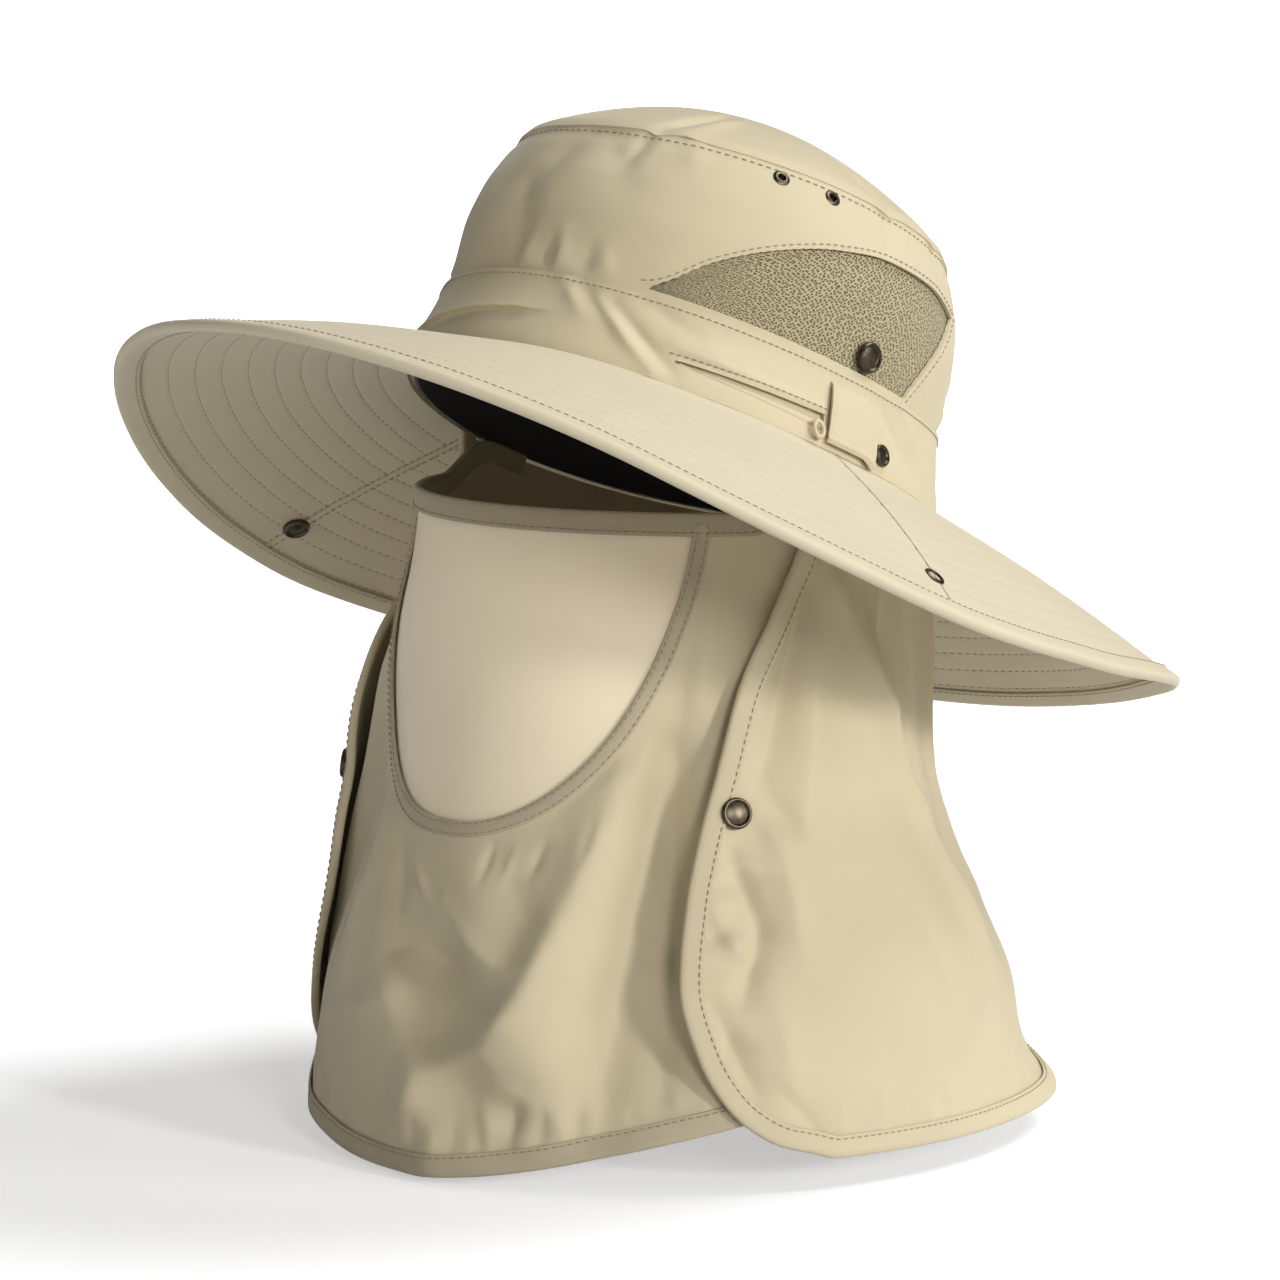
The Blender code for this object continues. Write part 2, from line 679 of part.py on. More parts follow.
def make_binding():
    """A strip folded round the brim's edge: a channel swept round the head."""
    inner = BRIM_CLOTH / 2 + GAP
    outer = inner + BINDING_CLOTH
    lip = BINDING_WIDTH
    channel = [(-lip, outer), (GAP + BINDING_CLOTH * 0.6, outer),
               (GAP + BINDING_CLOTH, outer * 0.4), (GAP + BINDING_CLOTH, -outer * 0.4),
               (GAP + BINDING_CLOTH * 0.6, -outer), (-lip, -outer),
               (-lip, -inner), (GAP, -inner), (GAP, inner), (-lip, inner)]
    steps = BRIM_ROUND
    mesh = bpy.data.meshes.new("brim_binding")
    work = bmesh.new()
    rings = []
    for step in range(steps):
        angle = -180 + 360 * step / steps
        edge = brim_point(angle, 1.0)
        upper = surface_normal(brim_point, angle, 1.0, 1.0, -0.02)
        away = (edge - brim_point(angle, 0.9)).normalized()
        middle = edge - upper * BRIM_CLOTH / 2
        rings.append([work.verts.new(middle + away * across + upper * up)
                      for across, up in channel])
    for index, ring in enumerate(rings):
        after = rings[(index + 1) % steps]
        for corner in range(len(channel)):
            turn = (corner + 1) % len(channel)
            work.faces.new((ring[corner], ring[turn], after[turn], after[corner]))
    bmesh.ops.recalc_face_normals(work, faces=work.faces)
    work.to_mesh(mesh)
    work.free()
    mesh.shade_smooth()
    mesh.set_sharp_from_angle(angle=math.radians(50))
    add_object("brim_binding", mesh, "khaki_trim")


# Pieces of the face cover

VEIL_COLUMNS = 30
VEIL_ROWS = 9


def veil_height(degrees):
    return (veil_point(degrees, 0.0) - veil_point(degrees, 1.0)).z


def veil_strip(name, low, high, thickness, rows, material, group=None):
    """A stretch of the face cover between two distances from its edges.

    A distance is measured down from the top edge, or up from the hem if negative,
    and None is the hem itself.
    """
    def share(degrees, distance):
        if distance is None:
            return 1.0
        if distance >= 0:
            return distance / veil_height(degrees)
        return 1 + distance / veil_height(degrees)

    def place(u, v):
        degrees = -VEIL_END + 2 * VEIL_END * u
        first, last = share(degrees, low), share(degrees, high)
        return veil_point(degrees, first + (last - first) * v, 0.0)

    return sheet(name, material, place, VEIL_COLUMNS, rows, thickness, group=group)


def panel_outline(out):
    """The face panel's opening, cut up through the top edge, at a depth in the wall."""
    steps = 18
    ring = [(PANEL_HALF_WIDTH, -TOP_BAND_WIDTH)]
    for step in range(steps + 1):
        across, down = panel_curve(step / steps)
        ring.append((across * PANEL_HALF_WIDTH, down * PANEL_DEPTH))
    ring.append((-PANEL_HALF_WIDTH, -TOP_BAND_WIDTH))
    return [panel_spot(x, depth, out) for x, depth in ring]


def panel_curve(part):
    """The rounded U of the panel, 1 wide each way and 1 deep, from left to right."""
    turn = math.pi * part
    sine, cosine = abs(math.sin(turn)), math.cos(turn)
    across = math.copysign(abs(cosine) ** (2 / PANEL_ROUNDNESS), cosine)
    return across, sine ** (2 / PANEL_ROUNDNESS)


def panel_spot(x, depth, out):
    """A point of the face cover at a distance across and below its top band."""
    z = -VEIL_TOP - TOP_BAND_WIDTH - depth
    level = -z / DRAPE_HEIGHT
    side = read_table(DRAPE_SECTIONS, "level", level, "side") * DRAPE_SIDE
    degrees = math.degrees(math.asin(max(-1.0, min(1.0, x / side))))
    top = veil_point(degrees, 0.0).z
    share = (top - z) / veil_height(degrees)
    return veil_point(degrees, share, out)


def make_veil():
    top = TOP_BAND_WIDTH
    veil = veil_strip("veil", -HEM_WIDTH - GAP, top + GAP, CLOTH, VEIL_ROWS, "khaki")
    boolean(veil, window("panel_cut", panel_outline, *PANEL_CUT))

    def panel(u, v):
        turn, down = panel_curve(0.5 - 0.48 * (2 * u - 1))
        x = turn * (PANEL_HALF_WIDTH + PANEL_LAP)
        top = GAP * 2
        return panel_spot(x, top + (down * (PANEL_DEPTH + PANEL_LAP) - top) * (1 - v),
                          -CLOTH - GAP * 3)

    sheet("face_panel", "khaki", panel, 16, 6, CLOTH)
    veil_strip("veil_top_band", top, 0.0, TRIM_CLOTH, 1, "khaki_trim")
    veil_strip("veil_hem", None, -HEM_WIDTH, TRIM_CLOTH, 1, "khaki_trim")

    def tape(u, v):
        across, down = panel_curve(0.003 + 0.994 * u)
        margin = (0.5 - v) * TAPE_WIDTH
        return panel_spot(-across * (PANEL_HALF_WIDTH + margin), down * (PANEL_DEPTH + margin),
                          GAP * 3 + TAPE_CLOTH)

    sheet("panel_tape", "khaki_trim", tape, 32, 1, TAPE_CLOTH)


# Pieces of the neck flap

CAPE_COLUMNS = 32
CAPE_ROWS = 11


def cape_row(part):
    """Rows lie closer together towards the hem, where the corner turns."""
    return 1 - (1 - part) ** 1.5


def trim_rise():
    """How far a bound edge stands above the cloth."""
    return (TRIM_CLOTH - CLOTH) / 2


def cape_widths(share):
    """What one metre is in the cape's own coordinates: along it, and down it."""
    front = cape_front(share)
    reach = math.radians(360 - 2 * front) * (DRAPE_SIDE + DRAPE_BACK) / 2
    return 1 / reach, 1 / CAPE_HEM


def make_cape():
    inset_down = CAPE_BINDING_WIDTH / CAPE_HEM

    def place(u, v):
        share = cape_row(1 - v) * (1 - inset_down - SET_IN / CAPE_HEM)
        inset = (CAPE_BINDING_WIDTH + SET_IN) * cape_widths(share)[0]
        return cape_cloth(inset + (1 - 2 * inset) * u, share)

    sheet("neck_flap", "khaki", place, CAPE_COLUMNS, CAPE_ROWS, CLOTH)
    sides, hem = CAPE_ROWS, CAPE_COLUMNS
    total = 2 * sides + hem

    def rim(step):
        """Outer and inner spots of the binding, from the left front edge round."""
        if step <= sides:
            share = cape_row(step / sides)
            inner_share = share * (1 - inset_down)
            inset = CAPE_BINDING_WIDTH * cape_widths(inner_share)[0]
            return (0.0, share), (inset, inner_share)
        if step >= sides + hem:
            (along, share), (inner, inner_share) = rim(total - step)
            return (1 - along, share), (1 - inner, inner_share)
        part = (step - sides) / hem
        inset = CAPE_BINDING_WIDTH * cape_widths(1 - inset_down)[0]
        return (part, 1.0), (inset + (1 - 2 * inset) * part, 1 - inset_down)

    def strip(u, v):
        outer, inner = rim(round(u * total))
        along = outer[0] + (inner[0] - outer[0]) * v
        share = outer[1] + (inner[1] - outer[1]) * v
        return cape_cloth(along, share, trim_rise())

    sheet("flap_binding", "khaki_trim", strip, total, 1, TRIM_CLOTH)
    for sign, side in ((1, "left"), (-1, "right")):
        make_flap_snap(sign, side)
        make_flap_loop(sign, side)
        make_tab(sign, side)


def make_flap_snap(sign, side):
    """The snap that joins the neck flap to the face cover."""
    share = FLAP_SNAP_LEVEL
    along = FLAP_SNAP_INSET * cape_widths(share)[0]
    angle = cape_front(share) + (360 - 2 * cape_front(share)) * along
    make_snap("flap_snap_" + side, cape_point, sign * angle, share, (1.5, -0.01),
              FLAP_SNAP_RADIUS, trim_rise() + SET_IN * 1.35)


def make_flap_loop(sign, side):
    """A small cord loop at the top front corner of the neck flap."""
    level = CORD_LOOP_LEVEL
    angle = sign * (cape_front(level) - CORD_LOOP_LEAD)
    centre = cape_point(angle, level, trim_rise() + CORD_RADIUS + SET_IN)
    outward = surface_normal(cape_point, angle, level, 1.5, -0.01)
    plane = facing(centre, outward)
    ring = [plane @ Vector((math.cos(turn) * CORD_LOOP_HALF_WIDTH,
                            math.sin(turn) * CORD_LOOP_HALF_HEIGHT, 0.0))
            for turn in (2 * math.pi * step / 10 for step in range(10))]
    lay_tube("flap_loop_" + side, "khaki_trim", ring, CORD_RADIUS, closed=True)


def make_tab(sign, side):
    """A small dark pointed tab that hangs on the neck flap under the brim."""
    low, high = TAB_LEVEL, TAB_LEVEL - TAB_LENGTH / CAPE_HEM
    half = math.degrees(TAB_WIDTH / 2 / CROWN_HALF_WIDTH)

    def place(u, v):
        angle = sign * TAB_ANGLE + half * (2 * u - 1) * (0.15 + 0.85 * v)
        return cape_point(angle, low + (high - low) * v, GAP * 2 + CLOTH)

    sheet("tab_" + side, "charcoal", place, 2, 2, CLOTH)


clear_scene()
PARTS = make_collection("sun_hat")
CUTTERS = make_collection("cutters")
MATERIALS = make_materials()
make_crown()
make_band()
make_brim()
make_veil()
make_cape()
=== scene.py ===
"""The looks of a sun hat with a neck flap and a face cover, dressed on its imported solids.

Metres, +Z up, front along -Y. The origin is the middle of the seam between crown and brim.
An angle goes round the head in degrees: 0 is the front and +90 the wearer's left (+X).
The crown and the brim are drawn level and then pitched back about X.
"""
import math
import random

import bmesh
import bpy
import numpy as np
from mathutils import Matrix, Vector


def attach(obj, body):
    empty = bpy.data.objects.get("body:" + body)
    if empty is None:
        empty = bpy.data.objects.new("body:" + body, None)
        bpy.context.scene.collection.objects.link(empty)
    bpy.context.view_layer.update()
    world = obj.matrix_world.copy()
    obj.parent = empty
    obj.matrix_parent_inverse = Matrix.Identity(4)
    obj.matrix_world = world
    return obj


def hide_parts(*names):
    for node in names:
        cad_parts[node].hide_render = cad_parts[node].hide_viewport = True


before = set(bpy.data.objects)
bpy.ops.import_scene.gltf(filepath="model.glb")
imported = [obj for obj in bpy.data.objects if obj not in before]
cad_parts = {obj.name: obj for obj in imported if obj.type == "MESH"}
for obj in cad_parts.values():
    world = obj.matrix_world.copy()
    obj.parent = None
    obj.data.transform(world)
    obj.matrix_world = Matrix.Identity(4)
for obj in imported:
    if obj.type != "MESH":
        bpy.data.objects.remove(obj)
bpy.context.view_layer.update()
MM = 0.001
SIDES = ((1, "left"), (-1, "right"))


def table(columns, *rows):
    """A short table, whose rows give a value under each of its named columns."""
    return [dict(zip(columns.split(), row)) for row in rows]


# Sizes of the hat
GAP = 0.0003
PITCH = 21.3
CROWN_HALF_WIDTH = 0.0843
CROWN_FRONT = 0.094
CROWN_BACK = 0.099
SEAM_DIP = 0.006
WALL_HEIGHT = 0.080
DOME_HEIGHT = 0.0265
WALL_CLOTH = 0.0012
BAND_HEIGHT = 0.026
BAND_CLOTH = 0.0014
BAND_FOOT = -0.0001           # just under the seam, so no light shows between band and brim
SWEATBAND_HEIGHT = 0.0265
SWEATBAND_DROP = 0.0015
LOOP_FOOT = 0.0018
LOOP_HEIGHT = 0.0215
LOOP_CLOTH = 0.0014
LOOP_ANGLES = (80.6, 94.0)
BRIM_HALF_WIDTH = 0.167
BRIM_FRONT = 0.190
BRIM_BACK = 0.2055
BRIM_DROP = 0.0422
BRIM_ARCH = 0.0025
BRIM_CLOTH = 0.0019
BRIM_ROWS = 10               # rings of stitches between the seam and the edge
BRIM_SNAP_PLACE = 0.80
BRIM_SNAP_ANGLE = 83.0
BRIM_SEAM_ANGLE = 84.0
BINDING_WIDTH = 0.0066
DRAPE_HEIGHT = 0.2290
DRAPE_SIDE = 0.115
DRAPE_FRONT = 0.125
DRAPE_BACK = 0.125
VEIL_TOP = 0.0185
VEIL_TILT = 0.003
VEIL_HEM_RISE = 0.027
VEIL_END = 98.0
VEIL_CLOTH = 0.0008
TOP_BAND_WIDTH = 0.0065
HEM_WIDTH = 0.0065
PANEL_HALF_WIDTH = 0.0645
PANEL_DEPTH = 0.098
PANEL_ROUNDNESS = 2.4
TAPE_WIDTH = 0.0052
CAPE_STAND = 0.0034
EDGE_LIFT = 0.0028           # the neck flap's free front edge curls away from the face cover
CAPE_HEM = 0.221
CAPE_HEM_RISE = 0.018
CAPE_CLOTH = 0.0008
CAPE_BINDING = 0.0062
TAB_ANGLE = 92.0
TAB_FOOT = 0.135              # shares of the neck flap's height
TAB_HEIGHT = 0.0075
FLAP_LOOP_SHARE = 0.115
TAPE_COVER = 0.0007           # cloth of the folded tapes
FLAP_SNAP_LEVEL = 0.538
FLAP_SNAP_INSET = 0.0095
CROWN_SNAP_RISE = 0.0335
EYELET_RISE = 0.0755
EYELET_ANGLES = (58.8, 72.7)
EYELET_HOLE = 0.0021
# Stitches
STITCH_PITCH = 0.0028
STITCH_LENGTH = 0.0019
STITCH_RADIUS = 0.00021
HEM_PITCH = 0.0026
BAND_PITCH = 0.0024
BRIM_PITCH = 0.0034
STITCH_INSET = 0.0012         # from a tape's inner edge
STITCH_STAND = 0.0009         # above the face of the cloth in a folded tape
BINDING_STAND = 0.0019        # above the middle of the brim's edge

CROWN_PROFILE = table(
    "rise girth",
    (-0.30, 1.000),
    (0.00, 1.000),
    (0.15, 0.968),
    (0.33, 0.938),
    (0.58, 0.942),
    (0.76, 0.918),
    (0.90, 0.872),
    (1.00, 0.832),
)
BRIM_WAVES = table(
    "waves ahead left",
    (1, 0.007, -0.040),
    (2, -0.332, 0.111),
    (3, -0.038, 0.000),
    (4, 0.057, 0.000),
)
DRAPE_SECTIONS = table(
    "level side front back",
    (-0.10, 0.690, 0.700, 0.760),
    (0.08, 0.680, 0.712, 0.750),
    (0.28, 0.718, 0.758, 0.705),
    (0.48, 0.750, 0.790, 0.660),
    (0.58, 0.815, 0.840, 0.690),
    (0.80, 0.950, 0.960, 0.880),
    (0.92, 0.985, 0.985, 0.960),
    (1.00, 1.000, 1.000, 1.070),
)
SHARED_FOLDS = table(
    "angle spread level reach lean height",
    (-68, 19, 0.47, 0.25, 0, 0.165),
    (-64, 14, 0.82, 0.16, 0, 0.030),
)
VEIL_FOLDS = table(
    "angle spread level reach lean height",
    (4, 9, 0.78, 0.17, 90, -0.055),
    (-9, 8, 0.70, 0.13, 70, 0.035),
    (15, 7, 0.68, 0.10, 60, 0.026),
    (27, 8, 0.76, 0.22, -45, 0.042),
    (39, 7, 0.78, 0.24, -24, -0.046),
    (-31, 9, 0.84, 0.20, 0, 0.024),
    (8, 5, 1.00, 0.09, 0, 0.024),
)
CAPE_FOLDS = table(
    "angle spread level reach lean height",
    (86, 24, 0.66, 0.24, 30, 0.075),
    (121, 12, 0.26, 0.24, 30, -0.050),
    (136, 16, 0.74, 0.14, 0, 0.026),
    (142, 34, 1.00, 0.07, 0, 0.075),
    (165, 14, 0.80, 0.38, 0, 0.035),
    (-84, 18, 0.68, 0.30, 0, 0.050),
    (-124, 13, 0.30, 0.30, 0, -0.040),
    (-150, 18, 0.72, 0.34, 0, 0.050),
    (180, 9, 0.72, 0.40, 0, -0.030),
)
CAPE_FRONT = table(
    "share angle",
    (0.00, 80),
    (0.12, 78),
    (0.24, 70.5),
    (0.37, 62),
    (0.50, 57),
    (0.66, 51),
    (0.77, 49.5),
    (0.86, 52),
    (0.93, 56.5),
    (0.975, 63),
    (1.00, 71),
)
VENT_TOP = table(
    "angle rise",
    (32, 0.352),
    (36, 0.365),
    (49, 0.530),
    (62, 0.655),
    (76, 0.745),
    (92, 0.800),
    (108, 0.810),
    (124, 0.770),
    (130, 0.745),
)
VENT_FRONT = 36.0
VENT_BACK = (105.0, 124.0)
VENT_FOOT = 0.35
VENT_CLOTH = 0.0009
VENT_MARGIN = 0.0016          # from its opening to the stitches

# Creases: a line from one place to another, each an angle and a height in millimetres,
# with its width and how far it stands out, in millimetres.
CROWN_CREASES = table(
    "from to width height",
    ((3, 27), (4, 38), 2.6, 1.4),
    ((9.5, 27), (10.5, 36), 2.2, -1.2),
    ((14, 27), (13, 40), 2.4, 1.5),
    ((20, 27), (20.5, 37), 2.2, -1.2),
    ((26, 28), (24, 36), 2.6, 0.9),
    ((8, 76), (-3, 57), 5.5, -1.7),
    ((14, 76), (24, 60), 6.0, -1.5),
    ((-4, 58), (2, 34), 6.0, -1.5),
    ((-15, 52), (-12, 32), 7.0, 1.5),
    ((25, 80), (22, 68), 2.6, -2.0),
    ((36, 80), (38, 70), 4.0, 1.0),
    ((89, 80), (92, 70), 3.5, -1.5),
    ((112, 80), (116, 69), 3.0, -1.5),
    ((-38, 78), (-46, 58), 6.0, -1.4),
    ((-62, 80), (-60, 66), 3.5, -1.5),
    ((-100, 28), (-108, 46), 5.0, 1.4),
    ((150, 30), (144, 60), 7.0, 1.5),
    ((172, 78), (165, 52), 6.0, -1.7),
    ((-150, 30), (-146, 62), 7.0, 1.5),
    ((-165, 80), (-170, 64), 4.0, -1.5),
    ((134, 28), (136, 38), 2.6, 1.2),
    ((180, 28), (178, 40), 3.0, 1.2),
)
BAND_CREASES = table(
    "from to width height",
    ((17, 24), (23, 15), 2.4, 1.0),
    ((21, 25), (31, 12), 2.4, -1.0),
    ((26, 20), (42, 2), 2.2, 1.7),
    ((30, 20), (46, 4), 2.2, -1.4),
    ((46, 14), (60, 15), 3.0, 1.2),
    ((36, 24), (48, 18), 3.0, -0.8),
    ((97, 20), (108, 8), 2.6, -1.2),
    ((104, 24), (112, 14), 2.8, 1.2),
    ((-60, 22), (-50, 6), 3.0, 1.2),
    ((-98, 20), (-108, 8), 2.8, -1.2),
    ((150, 22), (160, 8), 3.4, 1.0),
    ((-150, 22), (-162, 8), 3.4, 1.0),
)
TIP_CREASES = table(
    "from to width height",
    ((26, 0), (37, 30), 2.6, -2.7),
    ((33, 0), (44, 26), 3.4, 1.5),
    ((92, 0), (86, 20), 3.6, -2.4),
    ((114, 0), (118, 16), 3.0, -1.7),
    ((-60, 0), (-52, 24), 3.4, -1.8),
    ((168, 0), (160, 22), 3.6, -1.7),
)
VEIL_CREASES = table(
    "from to width height",
    ((38.5, -104), (28, -148), 8.0, 4.7),
    ((28, -148), (24, -168), 7.0, 5.5),
    ((24, -168), (17, -187), 7.0, 5.5),
    ((17, -187), (4, -199), 7.5, 5.5),
    ((4, -199), (2, -216), 8.0, 4.2),
    ((24, -201), (20, -216), 8.0, -4.5),
    ((3.5, -146), (20, -164), 3.2, 2.8),
    ((-6, -160), (17, -170), 7.0, -6.5),
    ((14, -128), (23, -148), 6.0, -1.2),
    ((-10, -129), (1, -149), 2.4, 1.8),
    ((-16, -124), (-8, -160), 5.5, -2.8),
    ((-20, -186), (-6, -176), 6.0, 2.2),
    ((-25, -128), (-22, -170), 6.5, 3.1),
    ((-36, -116), (-33, -205), 7.5, -3.4),
    ((48, -96), (41.5, -148), 10.0, -6.0),
    ((41.5, -148), (36, -200), 12.0, -8.0),
    ((50.5, -100), (49, -160), 8.0, -7.0),
    ((49, -160), (46, -203), 9.0, -8.0),
    ((52, -62), (50, -92), 5.5, -1.6),
    ((46, -86), (40, -112), 4.0, 1.8),
    ((58, -46), (54, -80), 5.0, 1.6),
    ((12.5, -127), (11.5, -136), 2.0, -1.3),
    ((18, -127), (16, -136), 2.0, 1.0),
    ((24, -125), (21.5, -134), 2.0, -1.4),
    ((34, -117), (32, -128), 2.2, -1.2),
    ((39, -110), (37.5, -120), 2.2, 1.0),
    ((-44, -100), (-48, -190), 7.0, -3.1),
    ((-54, -80), (-56, -190), 6.0, 2.0),
    ((-63, -60), (-62, -180), 7.0, -1.8),
)
CAPE_CREASES = table(
    "from to width height",
    ((85, -44), (104, -118), 6.5, 6.9),
    ((104, -118), (117, -174), 8.0, 5.3),
    ((93, -44), (112, -114), 7.5, -8.0),
    ((98, -42), (96, -84), 3.0, 3.7),
    ((77, -46), (66, -102), 5.5, -5.1),
    ((80, -52), (72, -122), 7.0, 3.4),
    ((84, -92), (86, -150), 8.0, -2.0),
    ((65, -106), (73, -126), 3.2, -2.0),
    ((64, -114), (68, -124), 2.6, 1.8),
    ((58.5, -127), (62.5, -150), 3.6, -4.1),
    ((62.5, -150), (59, -170), 3.6, -3.7),
    ((67, -124), (68.5, -156), 5.0, 2.8),
    ((54.5, -143), (60, -158), 2.4, 2.8),
    ((53, -153), (58, -149), 1.8, -1.8),
    ((54, -172), (60, -200), 4.2, -3.4),
    ((64, -170), (66, -206), 5.0, 1.6),
    ((64, -200), (70, -214), 3.0, -1.4),
    ((100, -196), (116, -178), 9.0, -3.0),
    ((92, -150), (97, -178), 7.0, -1.6),
    ((132, -40), (136, -150), 8.0, 3.4),
    ((150, -40), (152, -190), 8.0, -3.9),
    ((166, -36), (170, -200), 8.0, 4.1),
    ((184, -40), (182, -200), 7.5, -3.7),
    ((200, -36), (196, -190), 8.0, 3.9),
    ((216, -40), (214, -196), 7.0, -3.9),
    ((232, -40), (226, -180), 8.0, 3.4),
    ((248, -44), (240, -150), 6.0, -3.0),
    ((262, -36), (272, -120), 6.0, 3.2),
    ((276, -100), (284, -190), 7.0, -3.0),
    ((292, -118), (284, -150), 4.0, 2.5),
)


def smooth(value):
    value = np.clip(value, 0.0, 1.0)
    return value * value * (3 - 2 * value)


def read_table(table, key, at, column):
    """A smooth curve through one column of a table, monotone between its rows."""
    places = np.array([row[key] for row in table], float)
    values = np.array([row[column] for row in table], float)
    steps = np.diff(values) / np.diff(places)
    slopes = np.zeros(len(table))
    product = steps[:-1] * steps[1:]
    total = steps[:-1] + steps[1:]
    slopes[1:-1] = np.where(product > 0, 2 * product / np.where(total == 0, 1, total), 0)
    at = np.clip(np.asarray(at, float), places[0], places[-1])
    index = np.clip(np.searchsorted(places, at) - 1, 0, len(table) - 2)
    span = places[index + 1] - places[index]
    part = (at - places[index]) / span
    start, end = slopes[index] * span, slopes[index + 1] * span
    rise = values[index + 1] - values[index]
    return (values[index] + start * part + (3 * rise - 2 * start - end) * part ** 2
            + (start + end - 2 * rise) * part ** 3)


def around(degrees, side, front, back):
    """Points on an egg-shaped ring: an ellipse with unlike front and back."""
    angle = np.radians(degrees)
    depth = np.where(np.cos(angle) > 0, front, back)
    return side * np.sin(angle), -depth * np.cos(angle)


def stack(x, y, z):
    return np.stack(np.broadcast_arrays(x, y, z), axis=-1)


def pitched(x, y, z):
    """From the level hat to the worn one."""
    sine, cosine = math.sin(math.radians(PITCH)), math.cos(math.radians(PITCH))
    return stack(x, y * cosine + z * sine, z * cosine - y * sine)


def creases(table, across, along):
    """Sum of a table's creases in metres, across and along in millimetres."""
    total = np.zeros(np.broadcast(across, along).shape)
    for row in table:
        (start_x, start_y), (end_x, end_y) = row["from"], row["to"]
        run_x, run_y = end_x - start_x, end_y - start_y
        part = ((across - start_x) * run_x + (along - start_y) * run_y)
        part = np.clip(part / (run_x ** 2 + run_y ** 2), 0, 1)
        off = (across - start_x - run_x * part) ** 2 + (along - start_y - run_y * part) ** 2
        fade = 0.75 - 0.25 * np.cos(2 * math.pi * part)
        total += row["height"] * MM * np.exp(-(off / row["width"] ** 2) ** 0.8) * fade
    return total


def scaled(table, per_degree):
    """The same creases with their angles turned into millimetres."""
    return [dict(row, **{"from": (row["from"][0] * per_degree, row["from"][1]),
                         "to": (row["to"][0] * per_degree, row["to"][1])}) for row in table]


def ripple(across, along, length, seed):
    """Soft uneven waves of about a given length, between -1 and 1, in millimetres."""
    draw = random.Random(seed)
    total = 0
    for _ in range(7):
        turn = draw.uniform(0, math.pi)
        wave = 2 * math.pi / (length * draw.uniform(0.7, 1.6))
        phase = draw.uniform(0, 2 * math.pi)
        total = total + np.sin((across * math.cos(turn) + along * math.sin(turn)) * wave + phase)
    return total / 7


# Surfaces of the crown

CROWN_PER_DEGREE = 1.45
CROWN_LINES = scaled(CROWN_CREASES, CROWN_PER_DEGREE)
BAND_LINES = scaled(BAND_CREASES, CROWN_PER_DEGREE)
TIP_LINES = scaled(TIP_CREASES, CROWN_PER_DEGREE)


def crown_level(degrees, rise, out=0.0):
    share = rise / WALL_HEIGHT
    girth = read_table(CROWN_PROFILE, "rise", share, "girth")
    x, y = around(degrees, CROWN_HALF_WIDTH * girth + out,
                  CROWN_FRONT * girth + out, CROWN_BACK * girth + out)
    dip = SEAM_DIP * np.sin(np.radians(degrees)) ** 2 * (1 - smooth(share))
    return x, y, rise - dip


def crown_plain(degrees, rise, out=0.0):
    return pitched(*crown_level(degrees, rise, out))


def ring_ripple(degrees, rise, length, seed):
    """A ripple on a closed ring of cloth, which meets itself at the back."""
    turn = np.radians(degrees)
    return ripple(90 * np.sin(turn) + 0.35 * rise / MM, 90 * np.cos(turn) + rise / MM, length, seed)


def ring_creases(table, degrees, rise):
    """Creases on a closed ring, laid a second time for those that cross the back."""
    turn = (degrees + 180) % 360 - 180
    back = np.where(turn < 0, turn + 360, turn - 360)
    return (creases(table, turn * CROWN_PER_DEGREE, rise / MM)
            + creases(table, back * CROWN_PER_DEGREE, rise / MM))


def crown(degrees, rise, out=0.0):
    """The crown wall with its creases."""
    free = smooth((rise - BAND_HEIGHT) / 0.004)
    seam = smooth((rise - WALL_HEIGHT + 0.0016) / 0.0016)
    push = ring_creases(CROWN_LINES, degrees, rise) + 0.0003 * ring_ripple(degrees, rise, 26, 3)
    return crown_plain(degrees, rise, out + push * free - 0.0006 * seam)


def crown_band(degrees, rise, out=0.0):
    """The band's outer face."""
    push = ring_creases(BAND_LINES, degrees, rise) + 0.0002 * ring_ripple(degrees, rise, 22, 5)
    return crown_plain(degrees, rise, GAP + BAND_CLOTH + out + push)


def crown_tip(degrees, share, out=0.0):
    """The top panel: share 0 at its seam and 1 in the middle."""
    x, y, _ = crown_level(degrees, WALL_HEIGHT + degrees * 0)
    push = ring_creases(TIP_LINES, degrees, share * 0.075) * (1 - smooth((share - 0.3) / 0.5))
    push = push + 0.0006 * ripple(x * (1 - share) / MM, y * (1 - share) / MM, 38, 11)
    rim = 1 - smooth(share / 0.03)
    lift = DOME_HEIGHT * (1 - (1 - share) ** 2) + push + out - (GAP + WALL_CLOTH) * rim
    return pitched(x * (1 - share), y * (1 - share), WALL_HEIGHT + GAP + WALL_CLOTH + lift)


# Surface of the brim

def brim_level(degrees, share, up=0.0):
    seam = stack(*crown_level(degrees, 0.0, GAP + BRIM_CLOTH * 0.6))
    x, y = around(degrees, BRIM_HALF_WIDTH, BRIM_FRONT, BRIM_BACK)
    drop = 1.0
    for row in BRIM_WAVES:
        turn = np.radians(degrees) * row["waves"]
        drop = drop + row["ahead"] * np.cos(turn) + row["left"] * np.sin(turn)
    edge = stack(x, y, -BRIM_DROP * drop)
    share = np.asarray(share, float)
    point = seam + (edge - seam) * share[..., None]
    point[..., 2] += BRIM_ARCH * np.sin(math.pi * share) + up
    return point


def brim(degrees, share, up=0.0):
    """The brim's upper face: share 0 at the seam and 1 at the edge."""
    flat = brim_level(degrees, share) / MM
    point = brim_level(degrees, share, up + 0.0005 * ripple(flat[..., 0], flat[..., 1], 60, 17))
    return pitched(point[..., 0], point[..., 1], point[..., 2])


# Surfaces of the hanging cloth

